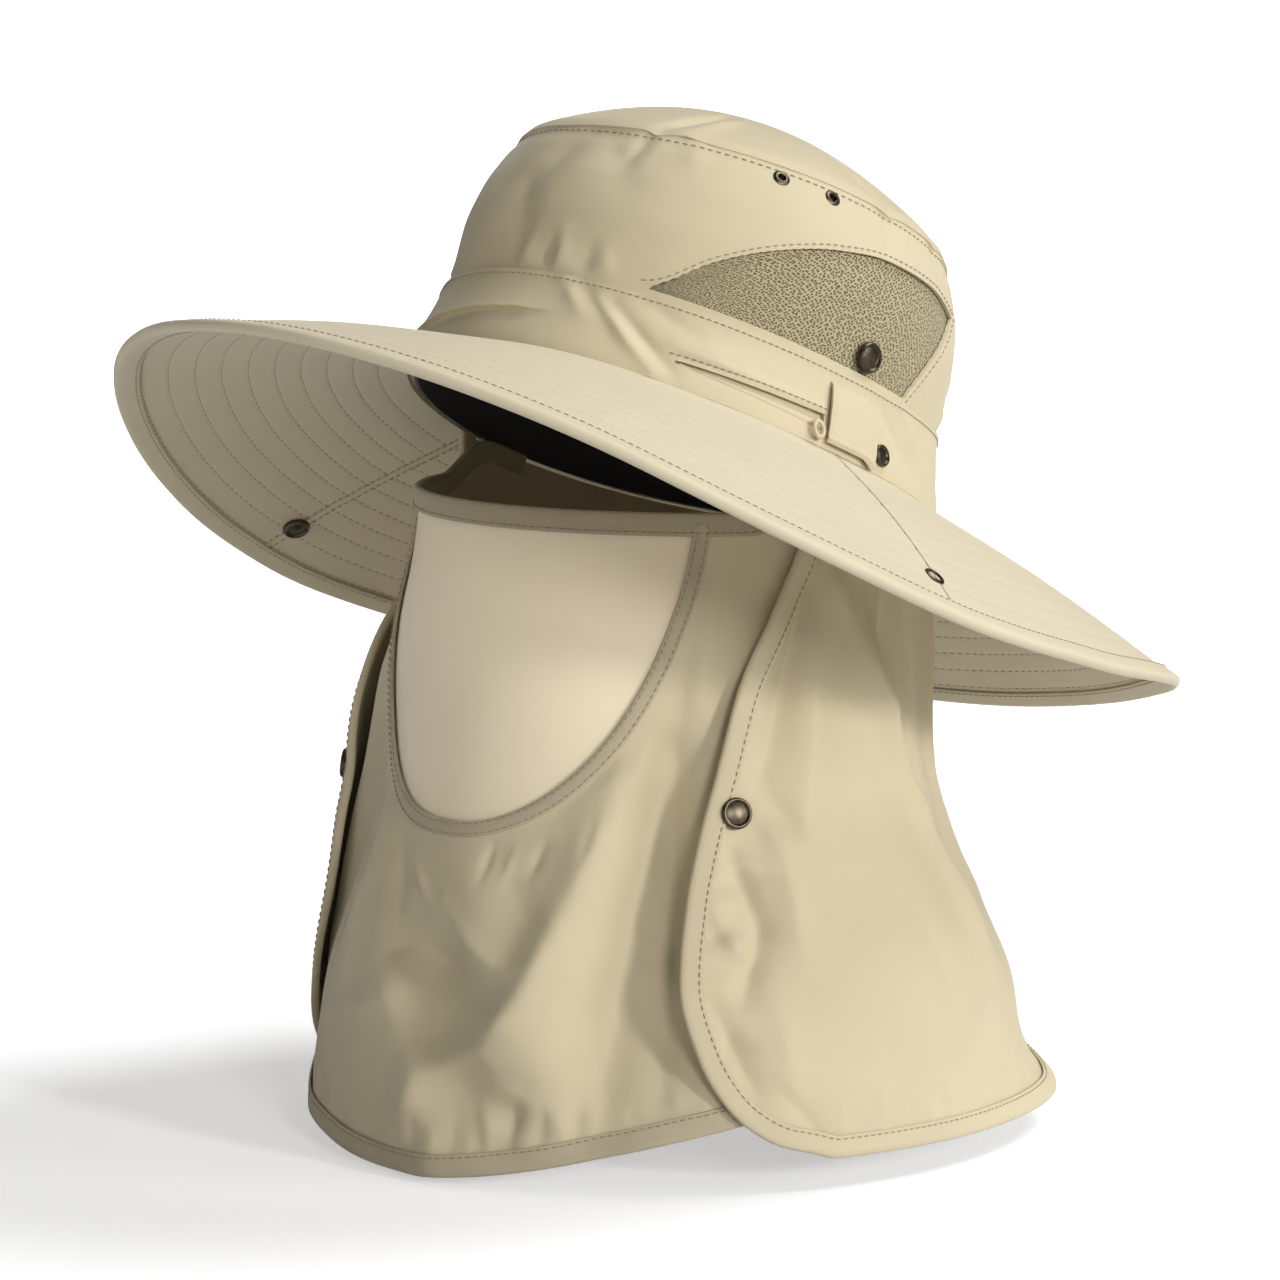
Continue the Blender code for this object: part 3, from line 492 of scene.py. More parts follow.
DRAPE_PER_DEGREE = 1.75
VEIL_LINES = scaled(VEIL_CREASES, DRAPE_PER_DEGREE)
CAPE_LINES = scaled(CAPE_CREASES, DRAPE_PER_DEGREE)


def folds(table, degrees, level):
    total = 0.0
    for row in table:
        middle = row["angle"] + row["lean"] * (level - row["level"])
        turn = (degrees - middle + 180) % 360 - 180
        side = (turn / row["spread"]) ** 2
        along = ((level - row["level"]) / row["reach"]) ** 2
        total = total + row["height"] * DRAPE_SIDE * np.exp(-side - along)
    return total


def drape(degrees, z, out):
    """Points of the hanging cloth at a height z, pushed outwards in plan."""
    level = -z / DRAPE_HEIGHT
    side = read_table(DRAPE_SECTIONS, "level", level, "side") * DRAPE_SIDE
    front = read_table(DRAPE_SECTIONS, "level", level, "front") * DRAPE_FRONT
    back = read_table(DRAPE_SECTIONS, "level", level, "back") * DRAPE_BACK
    out = out + folds(SHARED_FOLDS, degrees, level)
    x, y = around(degrees, side + out, front + out, back + out)
    return stack(x, y, z)


def veil_span(degrees):
    """Heights of the face cover's top edge and hem, and how far it is lifted to the seam."""
    sine = np.sin(np.radians(degrees))
    top = -VEIL_TOP - VEIL_TILT * sine
    hem = -DRAPE_HEIGHT + VEIL_HEM_RISE * sine * sine
    hook = crown_plain(degrees, -SWEATBAND_DROP - GAP, -WALL_CLOTH - GAP * 4)
    rise = smooth((np.abs(degrees) - 66) / 26)
    return top + (hook[..., 2] - top) * rise, hem, hook, rise


def veil(degrees, share, out=0.0, creased=1.0):
    """The face cover's outer face: share 0 at its top edge and 1 at the hem."""
    degrees = np.asarray(degrees, float)
    top, hem, hook, rise = veil_span(degrees)
    z = top + (hem - top) * share
    across, along = degrees * DRAPE_PER_DEGREE, z / MM
    inside = panel_inside(degrees, z)
    push = creases(VEIL_LINES, across, along) * creased
    push = push + creases(VEIL_GATHERS, across, along) * creased
    push = push + 0.0004 * ripple(across, along, 34, 23) * (1 - inside)
    push = push * (1 - inside)
    push = push + folds(VEIL_FOLDS, degrees, -z / DRAPE_HEIGHT)
    point = drape(degrees, z, out + push)
    held = rise * (1 - smooth(share / 0.25))
    out_x, out_y = around(degrees, out, out, out)
    point[..., 0] += (hook[..., 0] + out_x - point[..., 0]) * held
    point[..., 1] += (hook[..., 1] + out_y - point[..., 1]) * held
    return point


def panel_inside(degrees, z):
    """1 well inside the face panel and 0 outside it, where the cloth is free to crease."""
    side = read_table(DRAPE_SECTIONS, "level", -z / DRAPE_HEIGHT, "side") * DRAPE_SIDE
    x = side * np.sin(np.radians(degrees))
    depth = np.maximum(-z - VEIL_TOP - TOP_BAND_WIDTH, 0)
    far = ((np.abs(x) / PANEL_HALF_WIDTH) ** PANEL_ROUNDNESS
           + (depth / PANEL_DEPTH) ** PANEL_ROUNDNESS)
    return (1 - smooth((far - 1.02) / 0.16)) * (np.abs(degrees) < 90)


def veil_height(degrees):
    top, hem, _, _ = veil_span(degrees)
    return top - hem


def cape_hem(degrees):
    turn = (degrees + 180) % 360 - 180
    return -CAPE_HEM + CAPE_HEM_RISE * smooth((np.abs(turn) - 125) / 55)


def cape(degrees, share, out=0.0):
    """The neck flap's outer face: share 0 under the brim and 1 at the hem."""
    degrees = np.asarray(degrees, float)
    seat = crown_plain(degrees, -BRIM_CLOTH - GAP * 2, -GAP + out)
    z = seat[..., 2] + (cape_hem(degrees) - seat[..., 2]) * share
    across, along = (degrees % 360) * DRAPE_PER_DEGREE, z / MM
    loose = smooth(share / 0.16)
    push = creases(CAPE_LINES, across, along) + creases(CAPE_GATHERS, across, along)
    push = (push + 0.0005 * ripple(across, along, 38, 29)) * loose
    turn = np.abs((degrees + 180) % 360 - 180)
    edge = np.exp(-((turn - cape_front(share)) / 7) ** 2) * np.sin(math.pi * share) ** 2
    push = push + EDGE_LIFT * edge
    push = push + CAPE_STAND + out + folds(CAPE_FOLDS, degrees, -z / DRAPE_HEIGHT)
    point = drape(degrees, z, push)
    held = (1 - smooth(share / 0.22))[..., None]
    return np.concatenate([point[..., :2] + (seat[..., :2] - point[..., :2]) * held,
                           point[..., 2:]], axis=-1)


def cape_front(share):
    return read_table(CAPE_FRONT, "share", share, "angle")


def cape_cloth(along, share, out=0.0):
    """Along 0 is the left front edge and 1 the right one, round the back."""
    front = cape_front(share)
    return cape(front + (360 - 2 * front) * along, share, out)


def hem_gathers(count, first, last, foot, seed, low=0.35, high=0.9):
    """Short upright puckers above a hem, uneven in place, length and height."""
    draw = random.Random(seed)
    rows = []
    for index in range(count):
        angle = first + (last - first) * (index + draw.uniform(0.1, 0.9)) / count
        length = draw.uniform(5, 15)
        sway = draw.uniform(-1.6, 1.6)
        sign = -1 if index % 2 else 1
        rows.append({"from": (angle, foot(angle)), "to": (angle + sway, foot(angle) + length),
                     "width": draw.uniform(1.5, 2.6), "height": sign * draw.uniform(low, high)})
    return rows


def veil_foot(angle):
    return float(veil_span(np.array(angle))[1]) / MM + HEM_WIDTH / MM


def cape_foot(angle):
    return float(cape_hem(np.array(angle))) / MM + CAPE_BINDING / MM


def edge_gathers(seed):
    """Puckers that run in from the neck flap's front edge, below its snap."""
    draw = random.Random(seed)
    rows = []
    for sign in (1, -1):
        for index in range(11):
            share = 0.58 + index * 0.028 + draw.uniform(-0.006, 0.006)
            z = -CAPE_HEM * share / MM - 1
            start = float(cape_front(np.array(share))) + 3.5
            reach = draw.uniform(3.5, 8.0)
            first = (sign * start) % 360
            rows.append({"from": (first, z), "to": (first + sign * reach, z + draw.uniform(-4, 3)),
                         "width": draw.uniform(1.6, 2.6),
                         "height": (-1 if index % 2 else 1) * draw.uniform(0.6, 1.3)})
    return rows


VEIL_GATHERS = scaled(hem_gathers(11, 8, 36, veil_foot, 41, 0.5, 1.1)
                      + hem_gathers(16, -72, 6, veil_foot, 43, 0.2, 0.6)
                      + hem_gathers(8, 38, 66, veil_foot, 44, 0.2, 0.6), DRAPE_PER_DEGREE)
CAPE_GATHERS = scaled(hem_gathers(60, 72, 288, cape_foot, 47, 0.2, 0.6)
                      + edge_gathers(53), DRAPE_PER_DEGREE)


# Building helpers

def lone(item):
    """Selects one object and nothing else."""
    bpy.ops.object.select_all(action="DESELECT")
    item.select_set(True)
    bpy.context.view_layer.objects.active = item


def apply_modifiers(item):
    lone(item)
    for modifier in list(item.modifiers):
        bpy.ops.object.modifier_apply(modifier=modifier.name)


def shade(item, angle=50):
    item.data.shade_smooth()
    item.data.set_sharp_from_angle(angle=math.radians(angle))


def finish_piece(item, material, nodes=()):
    """Gives a piece its finish and its place in the frame."""
    item.data.materials.clear()
    item.data.materials.append(material)
    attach(item, "root")
    if nodes:
        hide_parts(*nodes)
    return item


def mesh_object(name, points, faces, corners, flat):
    """A mesh with a UV map in metres: flat gives it for each corner of each face."""
    mesh = bpy.data.meshes.new(name)
    mesh.from_pydata(np.asarray(points, float).reshape(-1, 3).tolist(), [], faces.tolist())
    layer = mesh.uv_layers.new(name="UVMap")
    layer.data.foreach_set("uv", flat[corners.ravel()].astype(np.float32).ravel())
    mesh.update()
    item = bpy.data.objects.new(name, mesh)
    bpy.context.scene.collection.objects.link(item)
    return item


def grid_faces(columns, rows, closed):
    """Faces of a grid of columns by rows, and their corners on the unwrapped grid."""
    i, j = np.meshgrid(np.arange(columns), np.arange(rows), indexing="ij")
    i, j = i.ravel(), j.ravel()
    wrap = columns if closed else columns + 1

    def spot(a, b, width):
        return (a % width) * (rows + 1) + b

    return [np.stack([spot(i, j, width), spot(i + 1, j, width),
                      spot(i + 1, j + 1, width), spot(i, j + 1, width)], axis=-1)
            for width in (wrap, columns + 1)]


def unrolled(points):
    """A flat layout of a grid of points, by its mean lengths each way in metres."""
    runs = []
    for axis in (0, 1):
        steps = np.linalg.norm(np.diff(points, axis=axis), axis=-1).mean(axis=1 - axis)
        runs.append(np.concatenate([[0.0], np.cumsum(steps)]))
    return np.stack(np.meshgrid(*runs, indexing="ij"), axis=-1)


def cloth(name, place, columns, rows, thickness, closed=False, flat=None, flip=False):
    """A cloth wall from a grid laid on place(u, v), its outer face where place says."""
    u = np.linspace(0, 1, columns + 1) if np.isscalar(columns) else np.asarray(columns)
    v = np.linspace(0, 1, rows + 1) if np.isscalar(rows) else np.asarray(rows)
    if flip:
        v = v[::-1]
    grid_u, grid_v = np.meshgrid(u, v, indexing="ij")
    points = place(grid_u, grid_v)
    faces, corners = grid_faces(len(u) - 1, len(v) - 1, closed)
    flat = flat(grid_u, grid_v) if flat else unrolled(points)
    if closed:
        points = points[:-1]
    item = mesh_object(name, points, faces, corners, flat.reshape(-1, 2))
    if thickness:
        wall = item.modifiers.new("wall", "SOLIDIFY")
        wall.thickness = thickness
        wall.offset = -1
        apply_modifiers(item)
    shade(item)
    return item


def unit(vectors):
    return vectors / np.linalg.norm(vectors, axis=-1, keepdims=True)


def normals_of(place, a, b, step_a, step_b):
    """Outward normals of a surface by small steps."""
    across = place(a + step_a, b) - place(a - step_a, b)
    along = place(a, b + step_b) - place(a, b - step_b)
    return unit(np.cross(across, along))


def spread_evenly(points, *others, spacing):
    """Points at even spacing along a polyline, with what goes with them."""
    steps = np.linalg.norm(np.diff(points, axis=0), axis=-1)
    place = np.concatenate([[0.0], np.cumsum(steps)])
    count = max(int(place[-1] / spacing), 2)
    at = np.linspace(0, place[-1], count + 1)
    spread = []
    for values in (points, *others):
        spread.append(np.stack([np.interp(at, place, values[:, k]) for k in range(3)], axis=-1))
    return spread


class Trim:
    """A path on a surface with its outward normals, for edgings and stitches."""

    def __init__(self, points, normals, closed=False, side=1):
        self.points = points
        self.normals = normals
        self.closed = closed
        if closed:
            run = np.roll(points, -1, axis=0) - np.roll(points, 1, axis=0)
        else:
            run = np.gradient(points, axis=0)
        self.inward = unit(np.cross(normals, unit(run)) * side)

    def shifted(self, across, up):
        return self.points + self.inward * across + self.normals * up


def surface_trim(place, a, b, step_a, step_b, closed=False, side=1):
    a, b = np.broadcast_arrays(np.asarray(a, float), np.asarray(b, float))
    return Trim(place(a, b), normals_of(place, a, b, step_a, step_b), closed, side)


def edging(name, trim, profile):
    """A strip swept along a path: its profile is (inwards, up) pairs round its section."""
    profile = np.array(profile)
    rings = (trim.points[:, None] + trim.inward[:, None] * profile[None, :, :1]
             + trim.normals[:, None] * profile[None, :, 1:])
    return skin(name, rings, trim.closed)


def skin(name, rings, closed, flat=None):
    """A closed wall over rings of points, each ring closed on itself."""
    count, rows = rings.shape[:2]
    if flat is None:
        wrapped = np.concatenate([rings, rings[:1]]) if closed else rings
        flat = unrolled(np.concatenate([wrapped, wrapped[:, :1]], axis=1))
    faces, corners = grid_faces(count if closed else count - 1, rows, False)
    column, row = faces // (rows + 1), faces % (rows + 1)
    faces = (column % count) * rows + row % rows
    item = mesh_object(name, rings, faces, corners, flat.reshape(-1, 2))
    work = bmesh.new()
    work.from_mesh(item.data)
    if not closed:
        work.verts.ensure_lookup_table()
        work.faces.new([work.verts[k] for k in range(rows)])
        work.faces.new([work.verts[(count - 1) * rows + k] for k in range(rows)][::-1])
    turn_faces_out(work, item.data)
    shade(item, 60)
    return item


def turn_faces_out(work, mesh):
    """Turns every face outwards and hands the work to its mesh."""
    bmesh.ops.recalc_face_normals(work, faces=work.faces)
    work.to_mesh(mesh)
    work.free()


def folded_strip(width, cloth_wall, roll):
    """Section of a tape folded over an edge: round outside, open to the cloth inside."""
    half = cloth_wall / 2 + 0.0001
    outer = half + TAPE_COVER
    slit = 0.0002
    turn = [(-roll * math.cos(math.radians(angle)), (outer + roll * 0.15)
             * math.sin(math.radians(angle))) for angle in (75, 50, 25, 0, -25, -50, -75)]
    top = [(width, half + TAPE_COVER * 0.4), (width * 0.97, outer), (width * 0.6, outer * 1.05),
           (width * 0.2, outer * 1.12)]
    below = [(across, -up) for across, up in reversed(top)]
    pocket = [(width * 0.9, -half), (slit, -half), (slit, half), (width * 0.9, half)]
    return top + turn + below + pocket


def flat_strip(width, thickness):
    """Section of a tape laid flat on the cloth, with soft edges."""
    half = width / 2
    return [(-half, 0.0), (-half * 0.98, thickness * 0.75), (-half * 0.8, thickness),
            (0.0, thickness * 1.08), (half * 0.8, thickness), (half * 0.98, thickness * 0.75),
            (half, 0.0), (half * 0.5, -0.0002), (-half * 0.5, -0.0002)]


STITCHES = {}


def stitch_trim(group, trim, across, up, pitch=STITCH_PITCH, length=STITCH_LENGTH,
                radius=STITCH_RADIUS):
    """A row of stitches: short threads that rise from the cloth and sink into it again."""
    points, normals = trim.shifted(across, up), trim.normals
    if trim.closed:
        points = np.concatenate([points, points[:1]])
        normals = np.concatenate([normals, normals[:1]])
    points, normals = spread_evenly(points, normals, spacing=pitch)
    run, normals = unit(np.gradient(points, axis=0)), unit(normals)
    side = np.cross(normals, run)
    rings = []
    for part, lift, girth in ((-0.5, -0.6, 0.25), (-0.3, 0.35, 0.9), (0.0, 0.75, 1.0),
                              (0.3, 0.35, 0.9), (0.5, -0.6, 0.25)):
        middle = points + run * length * part + normals * radius * lift
        for across, up in ((1, 0), (0, 1), (-1, 0), (0, -1)):
            rings.append(middle + (side * across + normals * up) * radius * girth)
    verts = np.stack(rings, axis=1)
    faces = [[ring * 4 + corner, ring * 4 + (corner + 1) % 4,
              ring * 4 + 4 + (corner + 1) % 4, ring * 4 + 4 + corner]
             for ring in range(4) for corner in range(4)]
    faces += [[3, 2, 1, 0], [16, 17, 18, 19]]
    STITCHES.setdefault(group, []).append((verts, np.array(faces)))


def make_stitches():
    """Joins each group's stitches into one piece."""
    for group, rows in STITCHES.items():
        points, faces, start = [], [], 0
        for verts, pattern in rows:
            count, each = verts.shape[:2]
            points.append(verts.reshape(-1, 3))
            offset = start + np.arange(count)[:, None, None] * each
            faces.append((pattern[None] + offset).reshape(-1, 4))
            start += count * each
        points, faces = np.concatenate(points), np.concatenate(faces)
        corners = np.arange(faces.size).reshape(faces.shape)
        item = mesh_object(group, points, faces, corners, np.zeros((faces.size, 2)))
        work = bmesh.new()
        work.from_mesh(item.data)
        turn_faces_out(work, item.data)
        item.data.shade_smooth()
        finish_piece(item, PALE_THREAD if group == "brim_stitches_above" else THREAD)


def prism(outlines, inward, outward):
    """A cutter with a body for each outline: outline(out) gives its ring at a depth."""
    work = bmesh.new()
    for outline in outlines:
        inner = [work.verts.new(point) for point in outline(-inward)]
        outer = [work.verts.new(point) for point in outline(outward)]
        for index in range(len(inner)):
            after = (index + 1) % len(inner)
            work.faces.new((inner[index], inner[after], outer[after], outer[index]))
        work.faces.new(inner[::-1])
        work.faces.new(outer)
    mesh = bpy.data.meshes.new("cutter")
    turn_faces_out(work, mesh)
    item = bpy.data.objects.new("cutter", mesh)
    bpy.context.scene.collection.objects.link(item)
    return item


def cut(item, cutter, folded=False):
    """Takes a cutter out of a piece, and the cutter away. Folded is for cloth that laps itself."""
    hole = item.modifiers.new("hole", "BOOLEAN")
    hole.operation = "DIFFERENCE"
    hole.solver = "EXACT"
    hole.use_self = folded
    hole.object = cutter
    apply_modifiers(item)
    bpy.data.objects.remove(cutter, do_unlink=True)
    if not item.data.polygons:
        raise ValueError(item.name + " was lost in its cut")
    shade(item)


def facing(centre, outward):
    turn = Vector(outward).to_track_quat("Z", "Y").to_matrix().to_4x4()
    return Matrix.Translation(Vector(centre)) @ turn


def turned(name, profile, matrix, sides=40):
    """A turned piece: a circle extruded and scaled along its profile, from its rim in."""
    bpy.ops.object.select_all(action="DESELECT")
    radius, height = profile[0]
    bpy.ops.mesh.primitive_circle_add(vertices=sides, radius=radius, location=(0, 0, height))
    item = bpy.context.object
    item.name = name
    bpy.ops.object.transform_apply(location=True, rotation=True, scale=True)
    bpy.ops.object.mode_set(mode="EDIT")
    bpy.ops.mesh.select_all(action="SELECT")
    for wide, high in profile[1:]:
        bpy.ops.mesh.extrude_region_move(TRANSFORM_OT_translate={"value": (0, 0, high - height)})
        if wide > 0:
            bpy.ops.transform.resize(value=(wide / radius, wide / radius, 1),
                                     center_override=(0, 0, 0))
            radius = wide
        else:
            bpy.ops.mesh.merge(type="CENTER")
        height = high
    bpy.ops.mesh.select_all(action="SELECT")
    bpy.ops.mesh.remove_doubles(threshold=0.000001)
    bpy.ops.mesh.select_all(action="DESELECT")
    bpy.ops.mesh.select_non_manifold()
    if item.data.total_edge_sel:
        bpy.ops.mesh.edge_face_add()
    bpy.ops.mesh.select_all(action="SELECT")
    bpy.ops.mesh.normals_make_consistent(inside=False)
    bpy.ops.object.mode_set(mode="OBJECT")
    item.data.transform(matrix)
    shade(item, 40)
    return item


# Finishes

class Value:
    """A socket of a finish; Python's operators add its Math nodes."""

    def __init__(self, paint, socket):
        self.paint = paint
        self.socket = socket

    def math(self, operation, *others):
        return self.paint.node("Math", {"operation": operation},
                               dict(enumerate((self, *others))))

    def __add__(self, other):
        return self.math("ADD", other)

    def __sub__(self, other):
        return self.math("SUBTRACT", other)

    def __rsub__(self, other):
        return self.paint.node("Math", {"operation": "SUBTRACT"}, {0: other, 1: self})

    def __mul__(self, other):
        return self.math("MULTIPLY", other)

    def __truediv__(self, other):
        return self.math("DIVIDE", other)

    def sine(self):
        return self.math("SINE")

    def limited(self):
        return self.math("MAXIMUM", 0.0).math("MINIMUM", 1.0)


class Paint:
    """A material with one Principled shader, whose constants are set on its own sockets."""

    def __init__(self, name, **constants):
        self.material = bpy.data.materials.new(name)
        self.material.use_nodes = True
        self.tree = self.material.node_tree
        self.shader = self.tree.nodes["Principled BSDF"]
        for socket, value in constants.items():
            self.shader.inputs[socket.replace("_", " ")].default_value = value

    def feed(self, socket, value):
        if isinstance(value, Value):
            self.tree.links.new(value.socket, socket)
        else:
            socket.default_value = value

    def node(self, kind, settings=None, sockets=None, out=0):
        """Any other node: its type, its settings and the values or links of its sockets."""
        node = self.tree.nodes.new("ShaderNode" + kind)
        for name, value in (settings or {}).items():
            setattr(node, name, value)
        for name, value in (sockets or {}).items():
            self.feed(node.inputs[name], value)
        return Value(self, node.outputs[out])

    def place(self, out=3):
        """Texture coordinates: 3 is the object's own space and 2 its flat map in metres."""
        return self.node("TexCoord", out=out)

    def noise(self, vector, scale, detail=2.0):
        return self.node("TexNoise", {}, {"Vector": vector, "Scale": scale, "Detail": detail})

    def blend(self, factor, first, second):
        return self.node("Mix", {"data_type": "RGBA"}, {0: factor, 6: first, 7: second}, out=2)

    def stretched(self, vector, across, along, turn=0.0):
        return self.node("Mapping", {}, {"Vector": vector, "Scale": (across, along, 1.0),
                                         "Rotation": (0.0, 0.0, turn)})

    def bump(self, height, distance, strength=1.0):
        normal = self.node("Bump", {}, {"Height": height, "Distance": distance,
                                        "Strength": strength})
        self.feed(self.shader.inputs["Normal"], normal)

    def paint(self, **links):
        for socket, value in links.items():
            self.feed(self.shader.inputs[socket.replace("_", " ")], value)
        return self.material


def colour(red, green, blue):
    return (red, green, blue, 1.0)


def times(tint, factor):
    return (*(part * factor for part in tint[:3]), 1.0)


WEAVE_PITCH = 0.00042


def woven(name, tint, grain=1.0, sheen=0.25, roughness=0.72, pitch=WEAVE_PITCH, wrinkle=1.0):
    """Fine plain-weave cloth with slubs, soft crinkles and slightly uneven dye."""
    paint = Paint(name, Roughness=roughness, Sheen_Weight=sheen, Sheen_Roughness=0.45,
                  Sheen_Tint=colour(1.0, 0.96, 0.88), Specular_IOR_Level=0.32)
    flat = paint.place(2)
    across = paint.node("SeparateXYZ", {}, {0: flat})
    along = Value(paint, across.socket.node.outputs[1])
    turn = 2 * math.pi / pitch
    weave = (across * turn).sine() * (along * turn).sine() * 0.5 + 0.5
    weft = paint.noise(paint.stretched(flat, 260.0, 2600.0), 1.0, 1.0)
    warp = paint.noise(paint.stretched(flat, 2600.0, 320.0), 1.0, 1.0)
    slub = (weft + warp) * 0.5
    dye = paint.noise(flat, 22.0, 3.0)
    crinkle = paint.noise(flat, 95.0, 2.0)
    pale = paint.blend(dye, times(tint, 0.93), times(tint, 1.06))
    thread = (weave * 0.35 + slub * 0.65).limited()
    shown = paint.blend(thread, times(tint, 0.84), pale)
    base = paint.blend(0.42 * grain, pale, shown)
    rough = dye * 0.12 + (roughness - 0.06)
    paint.bump(weave * 0.35 + slub * 0.9 + crinkle * 6.0 * wrinkle, 0.00005 * grain, 0.7)
    return paint.paint(Base_Color=base, Roughness=rough)


def pebbled(name, light, dark):
    """Knitted mesh: close rows of small holes, painted dark as painted shade, in a lighter, pebbled
    ground.
    """
    paint = Paint(name, Roughness=0.85, Specular_IOR_Level=0.3, Sheen_Weight=0.15)
    flat = paint.place(2)
    turned_flat = paint.stretched(flat, 1.0, 1.12, 0.6)
    cells = paint.node("TexVoronoi", {"feature": "F1", "voronoi_dimensions": "2D"},
                       {"Vector": turned_flat, "Scale": 820.0, "Randomness": 0.6})
    patch = paint.noise(flat, 60.0, 3.0)
    grain = paint.noise(flat, 1900.0, 1.0)
    # Mask of the mesh's holes, which take the dark colour: painted shade for the dark seen through
    # the openings.
    hole = ((0.38 - cells) * 6.0).limited()
    body = paint.blend((patch * 0.5 + grain * 0.5).limited(), times(light, 0.72),
                       times(light, 1.25))
    paint.bump((1 - hole) + grain * 0.5, 0.00022, 0.9)
    return paint.paint(Base_Color=paint.blend(hole * 0.95, body, dark))


def metal(name, tint, roughness=0.3):
    """Dark pressed metal with worn, uneven gloss."""
    paint = Paint(name, Metallic=1.0, Roughness=roughness)
    place = paint.place()
    cloud = paint.noise(place, 420.0, 3.0)
    scratch = paint.noise(paint.stretched(place, 500.0, 4000.0), 1.0, 2.0)
    worn = (cloud * 1.6 - 0.5).limited()
    shown = paint.blend(worn, times(tint, 0.75), times(tint, 1.6))
    paint.bump(scratch, 0.00001, 0.4)
    return paint.paint(Base_Color=shown, Roughness=cloud * 0.25 + (roughness - 0.12))


def thread(name, tint):
    """Twisted sewing thread."""
    paint = Paint(name, Roughness=0.7, Sheen_Weight=0.2)
    twist = paint.noise(paint.place(), 2600.0)
    paint.bump(twist, 0.00004, 0.6)
    return paint.paint(Base_Color=paint.blend(twist, times(tint, 0.8), times(tint, 1.15)))


# How much the floor glows below the hat and at its rim, as it lights the hat and as it is seen
FLOOR_LIGHT = (0.03, 0.12)
FLOOR_SEEN = (0.50, 0.80)


def board(name, tint):
    """The pale studio floor, very faintly uneven, which glows more towards its rim."""
    paint = Paint(name, Roughness=0.7, Specular_IOR_Level=0.1, Emission_Strength=1.0)
    place = paint.place()
    cloud = paint.noise(place, 3.0)
    far = paint.node("VectorMath", {"operation": "LENGTH"}, {0: place}, out=1)
    rim = ((far - 0.35) / 1.4).limited()
    glow, seen = (paint.blend(rim, *(colour(level, level, level) for level in levels))
                  for levels in (FLOOR_LIGHT, FLOOR_SEEN))
    direct = paint.node("LightPath")
    return paint.paint(Base_Color=paint.blend(cloud, times(tint, 0.99), tint),
                       Emission_Color=paint.blend(direct, glow, seen))


KHAKI = woven("khaki_cloth", colour(0.572, 0.494, 0.328))
# The brim is the same khaki cloth, its tint raised as painted light for its lit top; it also
# dresses the brim's underside, binding and seam strip.
BRIM_KHAKI_PAINTED_LIT = woven("brim_cloth", colour(0.620, 0.548, 0.388), grain=1.2, wrinkle=0.5)
BINDING_KHAKI = woven("binding_cloth", colour(0.565, 0.487, 0.325), grain=1.2, wrinkle=0.6)
TRIM_KHAKI = woven("tape_cloth", colour(0.455, 0.388, 0.265), grain=1.5, pitch=0.0006)
ROLL_KHAKI = woven("roll_cloth", colour(0.385, 0.325, 0.218), grain=1.5, pitch=0.0006)
# The face panel's smoother cloth is paler than the rest, and its tint is raised further as painted
# light, for light that the brim keeps off it.
PANEL_KHAKI_PALE_AND_PAINTED_LIT = woven("panel_cloth", colour(0.840, 0.728, 0.520), grain=0.3, sheen=0.4,
                    roughness=0.55, wrinkle=0.3)
LINING = woven("charcoal_cloth", colour(0.036, 0.036, 0.038), grain=1.5, sheen=0.1)
# The vent's second colour is painted shade in the mesh's holes.
VENT = pebbled("vent_mesh", colour(0.390, 0.336, 0.200), colour(0.085, 0.066, 0.028))
BRONZE = metal("dark_bronze", colour(0.095, 0.078, 0.055), 0.36)
THREAD = thread("thread", colour(0.300, 0.245, 0.150))
PALE_THREAD = thread("pale_thread", colour(0.500, 0.440, 0.320))


# Crown

ROUND = np.linspace(-180.0, 180.0, 361)


def vent_spot(sign, u, v, out):
    """A point of the vent: u from its front tip back, v from its foot to its arc."""
    back = VENT_BACK[0] + (VENT_BACK[1] - VENT_BACK[0]) * v
    angle = VENT_FRONT + (back - VENT_FRONT) * u
    top = read_table(VENT_TOP, "angle", angle, "rise")
    return crown_plain(sign * angle, (VENT_FOOT + (top - VENT_FOOT) * v) * WALL_HEIGHT, out)


def vent_border():
    """Shares round the vent's border: its foot, its back edge and its arc."""
    foot, back, arc = np.linspace(0, 1, 24), np.linspace(0, 1, 10), np.linspace(1, 0, 48)
    u = np.concatenate([foot[:-1], np.ones(9), arc])
    v = np.concatenate([np.zeros(23), back[:-1], np.ones(48)])
    return u[:-1], v[:-1]


def vent_ring(sign, out):
    return vent_spot(sign, *vent_border(), out)


def eyelet_place(angle):
    centre = crown_plain(np.array(angle), np.array(EYELET_RISE))
    outward = normals_of(crown_plain, np.array(float(angle)), np.array(EYELET_RISE), 1.0, 0.002)
    return facing(centre, outward)


def eyelet_ring(angle, out):
    place = eyelet_place(angle)
    return [place @ Vector((EYELET_HOLE * math.cos(turn), EYELET_HOLE * math.sin(turn), out))
            for turn in np.linspace(0, 2 * math.pi, 25)[:-1]]


